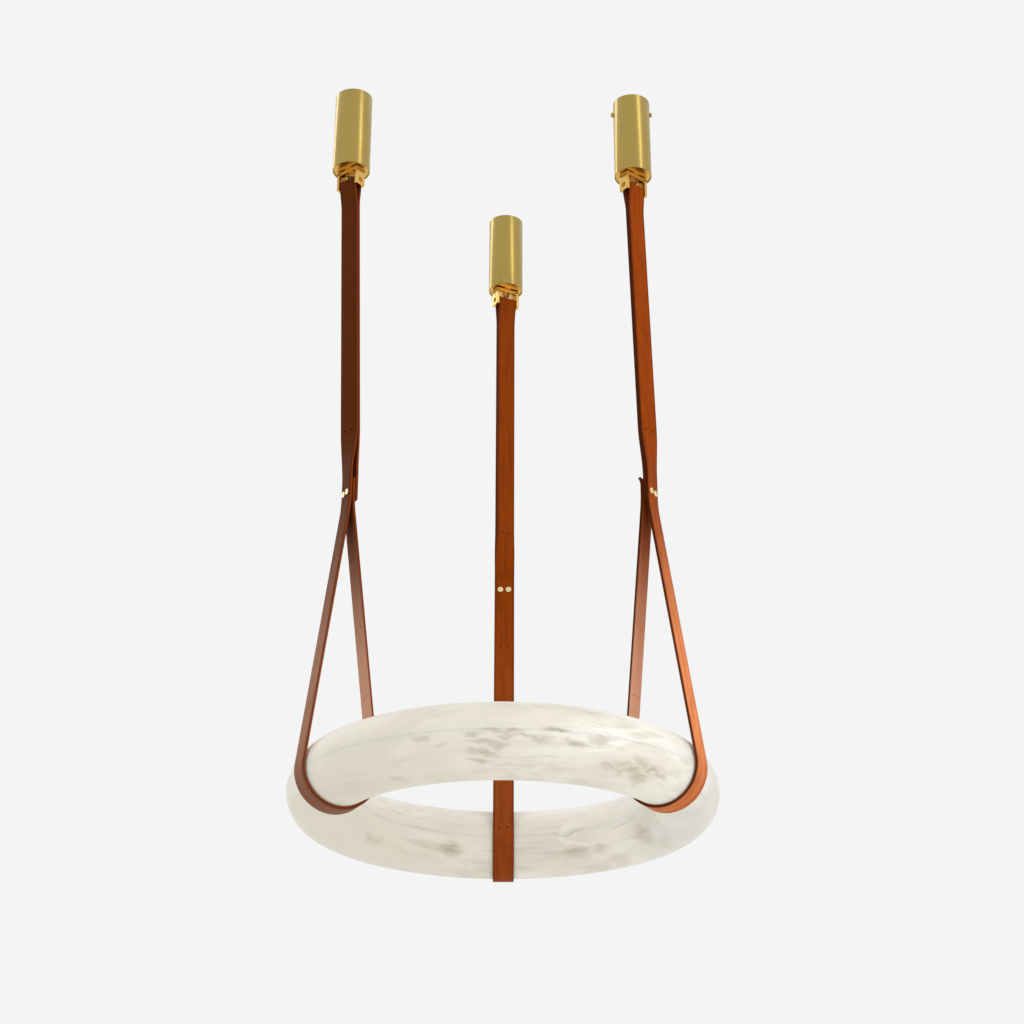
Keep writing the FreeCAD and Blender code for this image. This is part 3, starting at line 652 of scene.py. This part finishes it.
def make_cover():
    """A thin tube on the Z axis, with rounded rims."""
    start_clean()
    middle = (0, 0, (COVER_TOP + COVER_BOTTOM) / 2)
    bpy.ops.mesh.primitive_cylinder_add(vertices=128, radius=COVER_RADIUS, depth=COVER_TOP - COVER_BOTTOM,
                                        end_fill_type="NOTHING", location=middle)
    settle()
    add_modifier("SOLIDIFY", thickness=COVER_WALL, offset=-1.0)
    add_modifier("BEVEL", width=0.0005, segments=3, limit_method="ANGLE", angle_limit=math.radians(50))
    bpy.ops.object.shade_smooth_by_angle(angle=math.radians(35))
    return bpy.context.object


cover = make_cover()
for side in PLACES:
    hand_over(copy_to(cover, canopy_frame(side)), side + "_cover_tube", "satin_brass", side + "_cover",
              side + "_canopy_cover")
bpy.data.objects.remove(cover, do_unlink=True)

# %% [markdown]
# ## The clevis
#
# The clevis is the fork that carries the strap's bar. It is a sawn block of brass: a web on the stud and
# two ears with the bar between them. It starts as a cube, the gap between the ears and the holes are
# Boolean cuts, and all its edges are broken by a small bevel, as a file would.

# %% Clevis
EAR_GAP_WIDTH, CLEVIS_WIDTH, CLEVIS_DEPTH = 0.0324, 0.0414, 0.018
WEB_TOP, WEB_BOTTOM = -0.1359, -0.1419
BAR_RADIUS, BORE_RADIUS, EYE_GAP = 0.004, 0.00308, 0.0001


def make_box(width, depth, low, high):
    """A block on the Z axis between two heights."""
    start_clean()
    bpy.ops.mesh.primitive_cube_add(size=1, location=(0, 0, (low + high) / 2),
                                    scale=(width, depth, high - low))
    settle()
    return bpy.context.object


def make_rod(radius, length, centre, turn=(0, 0, 0), sides=64):
    """A cylinder, or a prism with few sides, along Z or as it is turned."""
    start_clean()
    bpy.ops.mesh.primitive_cylinder_add(vertices=sides, radius=radius, depth=length, location=centre,
                                        rotation=turn)
    settle()
    return bpy.context.object


ALONG_X = (0, math.pi / 2, 0)


def make_clevis():
    """Cuts a gap and the holes, with tools that reach well past the block."""
    gap = make_box(EAR_GAP_WIDTH, 0.05, BAR_HEIGHT - 0.03, WEB_BOTTOM)
    bore = make_rod(BORE_RADIUS, 0.02, (0, 0, WEB_TOP))
    eyes = make_rod(BAR_RADIUS + EYE_GAP, 0.1, (0, 0, BAR_HEIGHT), ALONG_X)
    block = make_box(CLEVIS_WIDTH, CLEVIS_DEPTH, BAR_HEIGHT - CLEVIS_DEPTH / 2, WEB_TOP)
    for cutter in (gap, bore, eyes):
        take_away(cutter)
    add_modifier("BEVEL", width=0.0006, segments=3, limit_method="ANGLE", angle_limit=math.radians(40))
    bpy.ops.object.shade_smooth_by_angle(angle=math.radians(35))
    return block


clevis = make_clevis()
for side in PLACES:
    hand_over(copy_to(clevis, bar_frame(side)), side + "_fork", "fitting_brass", side + "_swivel",
              side + "_clevis")
bpy.data.objects.remove(clevis, do_unlink=True)

# %% [markdown]
# ## The bar
#
# The bar goes through both ears and the strap's loop. Its ends lie a little below the ears' faces and
# have hexagon sockets. A cylinder with a six sided cutter at each end is all it takes, with a bevel on
# the ends.

# %% Bar
BAR_INSET = 0.002
BAR_LENGTH = CLEVIS_WIDTH - 2 * BAR_INSET
BAR_SOCKET, BAR_SOCKET_CUT = 0.0023, 0.005


def make_bar():
    """A round bar along X with a hexagon socket in each end."""
    sockets = [make_rod(BAR_SOCKET, BAR_SOCKET_CUT, (way * BAR_LENGTH / 2, 0, BAR_HEIGHT), ALONG_X, sides=6)
               for way in (-1, 1)]
    bar = make_rod(BAR_RADIUS, BAR_LENGTH, (0, 0, BAR_HEIGHT), ALONG_X)
    for socket in sockets:
        take_away(socket)
    add_modifier("BEVEL", width=0.0003, segments=2, limit_method="ANGLE", angle_limit=math.radians(40))
    bpy.ops.object.shade_smooth_by_angle(angle=math.radians(35))
    return bar


bar = make_bar()
for side in PLACES:
    hand_over(copy_to(bar, bar_frame(side)), side + "_bar", "fitting_brass", side + "_swivel",
              side + "_strap_bar")
bpy.data.objects.remove(bar, do_unlink=True)

# %% [markdown]
# ## Clamp screws
#
# Two screw posts hold three plies of each strap together. On one side is the post's head, on the other
# its screw's, and both are low round buttons with a socket. One function makes them all: a cylinder
# whose top edge is bevelled, whose top is inset and sunk for the socket, and whose back is inset and
# drawn out for the barrel. A lathed profile would do as well, but the socket would need its own cut.

# %% Buttons and barrels
STRAP_WIDTH, STRAP_THICK, PLY_GAP = 0.031, 0.004, 0.0003
STACK = 3 * STRAP_THICK + 2 * PLY_GAP
HOLE_SPACING = 0.0125
SOCKET_DEPTH = 0.0012


def make_button(radius, height, rounding, socket, barrel_radius, barrel_length):
    """A head that looks up Z from the origin, with a barrel that goes down from it."""
    start_clean()
    bpy.ops.mesh.primitive_cylinder_add(vertices=64, radius=radius, depth=height,
                                        location=(0, 0, height / 2))
    settle()
    bpy.ops.object.mode_set(mode="EDIT")
    pick("EDGE", lambda edge: min(end.co.z for end in edge.verts) > height * 0.9)
    bpy.ops.mesh.bevel(offset=rounding, segments=5, affect="EDGES")
    pick("FACE", lambda face: face.normal.z > 0.99 and face.calc_center_median().z > height * 0.9)
    bpy.ops.mesh.inset(thickness=radius - rounding - socket)
    bpy.ops.mesh.extrude_region_move(TRANSFORM_OT_translate={"value": (0, 0, -SOCKET_DEPTH)})
    pick("FACE", lambda face: face.normal.z < -0.99)
    bpy.ops.mesh.inset(thickness=radius - barrel_radius)
    bpy.ops.mesh.extrude_region_move(TRANSFORM_OT_translate={"value": (0, 0, -barrel_length)})
    bpy.ops.object.mode_set(mode="OBJECT")
    bpy.ops.object.shade_smooth_by_angle(angle=math.radians(50))
    return bpy.context.object


def place_pair(button, places):
    """Two copies of a button, joined into one piece."""
    pair = [copy_to(button, place) for place in places]
    work_on(pair[0])
    pair[1].select_set(True)
    bpy.ops.object.join()
    return bpy.context.object


def clamp_places(side, way):
    """The two places on the outer or inner face of the plies, looking away from them."""
    face = way * STACK / 2 - PLACES[side]["lean"]
    outwards = Matrix.Rotation(-way * math.pi / 2, 4, "X")
    return [sling_frame(side) @ Matrix.Translation((along, face, CLAMP_RISE)) @ outwards
            for along in (-HOLE_SPACING / 2, HOLE_SPACING / 2)]


HEAD = {"radius": 0.0046, "height": 0.002, "rounding": 0.0013, "socket": 0.0017}
post = make_button(**HEAD, barrel_radius=0.0025, barrel_length=STACK - 0.0002)
screw = make_button(**HEAD, barrel_radius=0.0015, barrel_length=STACK * 0.8)
for side in PLACES:
    hand_over(place_pair(post, clamp_places(side, -1)), side + "_posts", "polished_brass",
              "ceiling_hangers", side + "_screw_posts")
    hand_over(place_pair(screw, clamp_places(side, 1)), side + "_buttons", "polished_brass",
              "ceiling_hangers", side + "_clamp_screws")

# %% [markdown]
# ## Cover screws
#
# A cover is held by two thumb screws in its side. They are the same button as before, only taller, and
# they move with the cover. On the right canopy they stand at its two sides, and on the others towards
# the back.

# %% Cover screws
SCREW_DROP, HEAD_GAP = 0.020, 0.0001
SCREW_TURNS = {"left": 45.0, "rear": 45.0, "right": 90.0}


def cover_places(side):
    """The two places on the side of a cover, looking away from its axis."""
    spot = Matrix.Translation((0, COVER_RADIUS + HEAD_GAP, -SCREW_DROP))
    outwards = Matrix.Rotation(-math.pi / 2, 4, "X")
    return [canopy_frame(side, turn) @ spot @ outwards for turn in (SCREW_TURNS[side], -SCREW_TURNS[side])]


thumb = make_button(radius=0.0035, height=0.0035, rounding=0.0012, socket=0.0013,
                    barrel_radius=0.002, barrel_length=0.0018)
for side in PLACES:
    hand_over(place_pair(thumb, cover_places(side)), side + "_side_screws", "satin_brass", side + "_cover",
              side + "_cover_screws")
for pattern in (post, screw, thumb):
    bpy.data.objects.remove(pattern, do_unlink=True)

# %% [markdown]
# ## The flat strap
#
# Each strap is one piece of leather, 31 mm wide, 4 mm thick and about two metres long. Its first end is
# in the clamp. From there it goes up and over the bar, down through the clamp, round under the ring and
# back up into the clamp. The left strap's second end is tucked between its other two plies, and the other
# straps' lies on the inside. The lengths are worked out first, so that the strap can be made flat.

# %% Lengths along the strap
PITCH = STRAP_THICK + PLY_GAP
CLAMP_FLAT, FIRST_TAIL, LEG_TAIL = 0.026, 0.013, 0.020
BAR_TO_FLAT = (BAR_HEIGHT - RING_HEIGHT) - (CLAMP_RISE + CLAMP_FLAT)
LOOP_GAP = 0.0003
LOOP_RADIUS = BAR_RADIUS + LOOP_GAP + STRAP_THICK / 2
TAIL = CLAMP_FLAT + FIRST_TAIL
LOOP_START = TAIL + BAR_TO_FLAT
LOOP_LENGTH = math.pi * LOOP_RADIUS
LOOP_END = LOOP_START + LOOP_LENGTH
SLING_START = LOOP_END + BAR_TO_FLAT
print("from the clamp to the bar: %.3f m, loop: %.3f m" % (BAR_TO_FLAT, LOOP_LENGTH))

# %% [markdown]
# ## The sling's line
#
# Seen along the ring, each leg of a sling comes straight down out of the clamp, bends away from the
# other one, runs straight to the stone and goes round under the tube. The line could be drawn as a curve
# by hand. It is worked out instead, so that the strap meets the round of the tube without a kink: the
# straight part is a tangent, and the bend under the clamp is a curve with three control points.

# %% Legs and wrap
CLAMP_SKIRT, LEG_TOP, LEG_BEND, END_SPLAY = 0.018, 0.008, 0.016, 0.0034
WRAP_GAP, WRAP_LIFT = 0.0012, 0.0009
WRAP_RADIUS = TUBE_RADIUS + WRAP_GAP + STRAP_THICK / 2


def leg_line(offset):
    """The middle line of a leg, from the clamp to the bottom of the tube, as (y, z) points."""
    part = CLAMP_RISE - CLAMP_SKIRT
    rise = part - WRAP_LIFT
    leave = math.atan2(rise, offset) - math.acos(WRAP_RADIUS / math.hypot(offset, rise))
    touch = (WRAP_RADIUS * math.cos(leave), WRAP_LIFT + WRAP_RADIUS * math.sin(leave))
    run = math.dist(touch, (offset, part))
    way = ((touch[0] - offset) / run, (touch[1] - part) / run)
    start, knee = (offset, part + LEG_BEND), (offset, part)
    stop = (offset + way[0] * LEG_BEND, part + way[1] * LEG_BEND)
    points = [(offset, CLAMP_RISE + LEG_TOP)]
    for i in range(9):
        t = i / 8
        points.append(tuple((1 - t) ** 2 * a + 2 * t * (1 - t) * b + t * t * c
                            for a, b, c in zip(start, knee, stop)))
    points += [(stop[0] + (touch[0] - stop[0]) * i / 30, stop[1] + (touch[1] - stop[1]) * i / 30)
               for i in range(1, 30)]
    turn = leave + math.pi / 2
    return points + [(WRAP_RADIUS * math.cos(leave - turn * i / 30),
                      WRAP_LIFT + WRAP_RADIUS * math.sin(leave - turn * i / 30)) for i in range(31)]


def sling_line(tucked, lean):
    """Outer ply, outer leg, wrap, inner leg and its end, which bends away unless it is tucked."""
    outer, inner = PITCH - lean, lean if tucked else PITCH + lean
    splay = 0.0 if tucked else END_SPLAY
    outer_leg = [(outer, CLAMP_RISE + CLAMP_FLAT)] + leg_line(outer)
    inner_leg = [(-y, z) for y, z in reversed(leg_line(inner)[:-1])]
    end = [(-inner - splay * (i / 4) ** 2, CLAMP_RISE + LEG_TOP + (LEG_TAIL - LEG_TOP) * i / 4)
           for i in range(1, 5)]
    return outer_leg + inner_leg + end


# %% [markdown]
# ## A plan for each strap
#
# A plan holds the line of one sling, how far each of its points lies along the strap, and where the
# cross-sections stand. More sections cost time, so they are close together only where the strap bends,
# which it does round the bar, under the clamp and round the tube, or where it untwists.

# %% Stations and plans
GATHER, UNTWIST = 0.045, 0.080


def strap_stations(marks):
    """Where each cross-section stands along the flat strap, closer together where it bends or twists."""
    ply = [BAR_TO_FLAT * i / 40 for i in range(36)] + [UNTWIST * i / 12 for i in range(1, 12)]
    ply += [BAR_TO_FLAT - GATHER * i / 12 for i in range(1, 13)]
    ply = sorted({round(value, 4) for value in ply if value <= BAR_TO_FLAT - 0.003})
    up = [TAIL + value for value in ply]
    down = [LOOP_END + BAR_TO_FLAT - value for value in reversed(ply)]
    loop = [LOOP_START + LOOP_LENGTH * i / 20 for i in range(21)]
    return [TAIL * i / 6 for i in range(6)] + up + loop + down + [SLING_START + mark for mark in marks[1:]]


class Plan:
    """One strap: its sling's line, how far each point lies along it, and its cross-sections."""

    def __init__(self, tucked, lean):
        self.outer_ply = PITCH - lean
        self.first_ply = (-PITCH if tucked else 0.0) - lean
        self.line = sling_line(tucked, lean)
        self.marks = [0.0]
        for a, b in zip(self.line, self.line[1:]):
            self.marks.append(self.marks[-1] + math.dist(a, b))
        self.length = SLING_START + self.marks[-1]
        self.stations = strap_stations(self.marks)


PLANS = {side: Plan(side == "left", PLACES[side]["lean"]) for side in PLACES}
print("straps:", ", ".join("%s %.3f m" % (side, PLANS[side].length) for side in PLANS))

# %% [markdown]
# ## Cut the straps
#
# A strap is cut straight from a hide, with slightly rounded corners. A long cube with loop cuts would
# give the same, but its sections would stand at equal distances. So a section with bevelled corners is
# extruded in short steps, which are shorter where the strap will bend or twist.

# %% Extrude the flat strap
CORNER = 0.0009


def make_flat_strap(stations):
    """The strap along Y from the origin, with its width along X."""
    start_clean()
    bpy.ops.mesh.primitive_plane_add(size=1, rotation=(math.pi / 2, 0, 0))
    bpy.context.object.scale = (STRAP_WIDTH, STRAP_THICK, 1)
    settle()
    bpy.ops.object.mode_set(mode="EDIT")
    bpy.ops.mesh.select_all(action="SELECT")
    bpy.ops.mesh.bevel(offset=CORNER, segments=4, affect="VERTICES")
    for before, after in zip(stations, stations[1:]):
        bpy.ops.mesh.extrude_region_move(TRANSFORM_OT_translate={"value": (0, after - before, 0)})
    bpy.ops.mesh.select_all(action="SELECT")
    bpy.ops.mesh.normals_make_consistent(inside=False)
    bpy.ops.object.mode_set(mode="OBJECT")
    return bpy.context.object


# %% [markdown]
# ## Punch the straps
#
# Rows of two holes let the strap be set to another length: one row above the clamp, one on the outer leg
# and four on the inner one. The clamp's own holes are wider. A punch is a thin cylinder, and all of them
# are joined first, so that one Boolean cut is enough. An array could give the rows, but they aren't all
# the same distance apart.

# %% Punched holes
ADJUSTING_HOLE, CLAMP_HOLE = 0.0016, 0.0026
HOLE_PITCH, PUNCH_LENGTH = 0.100, 0.012


def mark_at(plan, height, inner):
    """How far along the strap a leg passes a height above the middle of the tube."""
    pairs = list(zip(plan.line, plan.marks))
    for (a, mark_a), (b, mark_b) in zip(pairs, pairs[1:]):
        if (mark_a > plan.marks[-1] / 2) == inner and min(a[1], b[1]) <= height <= max(a[1], b[1]):
            share = (height - a[1]) / (b[1] - a[1])
            return SLING_START + mark_a + (mark_b - mark_a) * share


def punch_holes(strap, plan):
    """Cuts every pair of holes with one tool."""
    above = HOLE_PITCH - CLAMP_FLAT
    rows = [(mark, ADJUSTING_HOLE) for mark in (TAIL + above, SLING_START - above,
                                                mark_at(plan, CLAMP_RISE - HOLE_PITCH, False))]
    rows += [(mark_at(plan, CLAMP_RISE - HOLE_PITCH * i, True), ADJUSTING_HOLE) for i in (1, 2, 3, 4)]
    rows += [(mark, CLAMP_HOLE) for mark in (FIRST_TAIL, SLING_START + CLAMP_FLAT, plan.length - LEG_TAIL)]
    punches = [make_rod(radius, PUNCH_LENGTH, (way * HOLE_SPACING / 2, mark, 0), sides=24)
               for mark, radius in rows for way in (-1, 1)]
    work_on(punches[0])
    for punch in punches:
        punch.select_set(True)
    bpy.ops.object.join()
    tool = bpy.context.object
    work_on(strap)
    take_away(tool)
    print("flat strap: %d faces, %d holes" % (len(strap.data.polygons), len(punches)))


# %% [markdown]
# ## Lay the strap on its route
#
# A Curve modifier could bend the strap, but would stretch it and turn it where the route is steep. So
# each section is carried to its place by three directions: along the route, across the strap, and
# through it. Just above the clamp the strap also twists, because its bar isn't parallel to the ring.

# %% Routes
def soften(share):
    """Goes smoothly from 0 to 1."""
    share = min(1.0, max(0.0, share))
    return share * share * (3 - 2 * share)


def ply_place(side, share, way):
    """The middle of a ply and the direction across it; share is 0 above the clamp and 1 at the bar."""
    first, outer = PLANS[side].first_ply, PLANS[side].outer_ply
    clamp_top = sling_frame(side) @ Vector((0, (outer + first) / 2, CLAMP_RISE + CLAMP_FLAT))
    bar_point = canopy_frame(side) @ Vector((0, 0, BAR_HEIGHT))
    closed = soften(share * BAR_TO_FLAT / UNTWIST)
    turn = math.radians(PLACES[side]["sling"] - 90 + PLACES[side]["twist"] * closed)
    offset = (outer - first) / 2 * (1 - closed) + PITCH / 2 * closed
    offset += (LOOP_RADIUS - offset) * soften(1 - (1 - share) * BAR_TO_FLAT / GATHER)
    outward = Vector((-math.sin(turn), math.cos(turn), 0))
    along_bar = Vector((math.cos(turn), math.sin(turn), 0))
    return clamp_top.lerp(bar_point, share) + outward * offset * way, along_bar


def route_place(side, mark):
    """The middle line and the direction across, at a distance along the strap."""
    plan, sling = PLANS[side], sling_frame(side)
    across_sling = sling.to_3x3() @ Vector((1, 0, 0))
    if mark < TAIL:
        return sling @ Vector((0, plan.first_ply, CLAMP_RISE - FIRST_TAIL + mark)), across_sling
    if mark < LOOP_START:
        return ply_place(side, (mark - TAIL) / BAR_TO_FLAT, -1)
    if mark <= LOOP_END:
        angle = math.pi - (mark - LOOP_START) / LOOP_RADIUS
        place = bar_frame(side)
        point = Vector((0, LOOP_RADIUS * math.cos(angle), BAR_HEIGHT + LOOP_RADIUS * math.sin(angle)))
        return place @ point, place.to_3x3() @ Vector((1, 0, 0))
    if mark < SLING_START:
        return ply_place(side, (SLING_START - mark) / BAR_TO_FLAT, 1)
    i = 0
    while i < len(plan.line) - 2 and mark > SLING_START + plan.marks[i + 1]:
        i += 1
    share = (mark - SLING_START - plan.marks[i]) / (plan.marks[i + 1] - plan.marks[i])
    y, z = (a + (b - a) * share for a, b in zip(plan.line[i], plan.line[i + 1]))
    return sling @ Vector((0, y, z)), across_sling


# %% [markdown]
# ## Move the points
#
# A section is a middle and two directions. Each point of the flat strap lies between two sections, so
# its place is blended from both. Its distance along the strap says between which ones, and its place
# across and through the strap stays as it was.

# %% Sections, and the strap laid on them
def sections(side):
    """For each station: the middle, and the directions across and through the strap."""
    places = [route_place(side, mark) for mark in PLANS[side].stations]
    result = []
    for i, (point, wide) in enumerate(places):
        before = places[max(i - 1, 0)][0]
        after = places[min(i + 1, len(places) - 1)][0]
        along_route = (after - before).normalized()
        wide = (wide - along_route * wide.dot(along_route)).normalized()
        result.append((point, wide, wide.cross(along_route)))
    return result


def lay(strap, side):
    """Moves every point of the flat strap to its place on the route."""
    route, stations = sections(side), PLANS[side].stations
    index = 0
    for vertex in sorted(strap.data.vertices, key=lambda vertex: vertex.co.y):
        wide_by, mark, through_by = vertex.co
        while index < len(stations) - 2 and stations[index + 1] < mark - 1e-6:
            index += 1
        share = (mark - stations[index]) / (stations[index + 1] - stations[index])
        middle, wide, through_way = (a.lerp(b, share) for a, b in zip(route[index], route[index + 1]))
        vertex.co = middle + wide * wide_by + through_way * through_by


# %% [markdown]
# ## Three straps
#
# The straps differ a little in length, because each clamp leans in its own way. Each one is cut, punched
# and laid. Before it is laid, its points are told where they are on the flat leather. From 12 mm below
# its bar down to its clamp the strap twists when the fork swivels; the two ends of that stretch are
# worked out, but the strap hangs on no body.

# %% Cut, punch and lay the three straps
# painted light on each strap: how much painted shade darkens it, and how much painted sheen pales its legs
PAINTED_SHADE_AND_SHEEN = {"left": (1.0, 1.0), "rear": (0.25, 0.1), "right": (0.0, 1.0)}
STIFF_LOOP = 0.012


def remember(strap, name, value_of):
    """Stores a vector on each point of the strap."""
    attribute = strap.data.attributes.new(name, "FLOAT_VECTOR", "POINT")
    for item, vertex in zip(attribute.data, strap.data.vertices):
        item.vector = value_of(vertex)


for side, plan in PLANS.items():
    strap = make_flat_strap(plan.stations)
    punch_holes(strap, plan)
    remember(strap, "flat", lambda vertex: vertex.co * 1000)
    remember(strap, "hide", lambda vertex: (*PAINTED_SHADE_AND_SHEEN[side], 0.0))
    lay(strap, side)
    work_on(strap)
    bpy.ops.object.shade_smooth_by_angle(angle=math.radians(40))
    hand_over(strap, side + "_strap", "bridle_leather", None, side + "_leather_strap")
    top = canopy_frame(side) @ Vector((0, 0, BAR_HEIGHT - STIFF_LOOP))
    foot = sling_frame(side) @ Vector((0, -PLACES[side]["lean"], CLAMP_RISE + CLAMP_FLAT))
    side + "_swivel"
    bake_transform(strap)

# %% [markdown]
# ## The floor
#
# The light hangs in a pale room. The floor is below the camera's view, but it sends light up.

# %% Floor
FLOOR_SIZE, FLOOR_HEIGHT = 9, -2.6
start_clean()
bpy.ops.mesh.primitive_plane_add(size=FLOOR_SIZE, location=(0, 0, FLOOR_HEIGHT))
settle()
floor = bpy.context.object
floor.name = "floor"
pale = Finish("pale_floor")
floor.data.materials.append(pale.wear(Base_Color=tone(237, 236, 232), Roughness=0.9))
print("floor at %.1f m" % FLOOR_HEIGHT)

# %% [markdown]
# ## The world
#
# The room is an even white light. Where the camera or a mirror looks at it, a pale grey takes its place,
# so that the background isn't burnt out.

# %% World
world = bpy.data.worlds.new("studio")
bpy.context.scene.world = world
world.use_nodes = True
sky = world.node_tree
sky.nodes.clear()
rays = sky.nodes.new("ShaderNodeLightPath")
seen = sky.nodes.new("ShaderNodeMath")
seen.operation = "MAXIMUM"
sky.links.new(rays.outputs["Is Camera Ray"], seen.inputs[0])
mirrored = sky.nodes.new("ShaderNodeMath")
mirrored.operation = "MAXIMUM"
sky.links.new(rays.outputs["Is Glossy Ray"], mirrored.inputs[0])
sky.links.new(rays.outputs["Is Transmission Ray"], mirrored.inputs[1])
sky.links.new(mirrored.outputs[0], seen.inputs[1])
light = sky.nodes.new("ShaderNodeBackground")
light.inputs["Color"].default_value = (1.0, 1.0, 1.0, 1.0)
light.inputs["Strength"].default_value = 1.0
backdrop = sky.nodes.new("ShaderNodeBackground")
backdrop.inputs["Color"].default_value = tone(244, 244, 244)
chosen = sky.nodes.new("ShaderNodeMixShader")
sky.links.new(seen.outputs[0], chosen.inputs[0])
sky.links.new(light.outputs[0], chosen.inputs[1])
sky.links.new(backdrop.outputs[0], chosen.inputs[2])
out = sky.nodes.new("ShaderNodeOutputWorld")
sky.links.new(chosen.outputs[0], out.inputs["Surface"])

# %% [markdown]
# ## The lamps
#
# A large soft lamp stands to the right, and two tall narrow ones draw the bright bands on the brass.

# %% Lamps
def add_lamp(name, place, target, width, height, power):
    """A rectangular lamp that looks at a target."""
    bpy.ops.object.light_add(type="AREA", location=place)
    lamp = bpy.context.object
    lamp.name = name
    lamp.data.shape = "RECTANGLE"
    lamp.data.size = width
    lamp.data.size_y = height
    lamp.data.energy = power
    direction = Vector(target) - Vector(place)
    lamp.rotation_euler = direction.to_track_quat("-Z", "Y").to_euler()


add_lamp("key", (2.6, -2.0, -0.9), (0, 0, -0.8), width=1.4, height=1.8, power=15.5)
add_lamp("band_right", (1.6, -1.4, 1.3), (0, 0, 0), width=0.42, height=1.6, power=5.9)
add_lamp("band_left", (-2.2, 1.5, 1.6), (0, 0, 0), width=0.40, height=2.4, power=13.0)
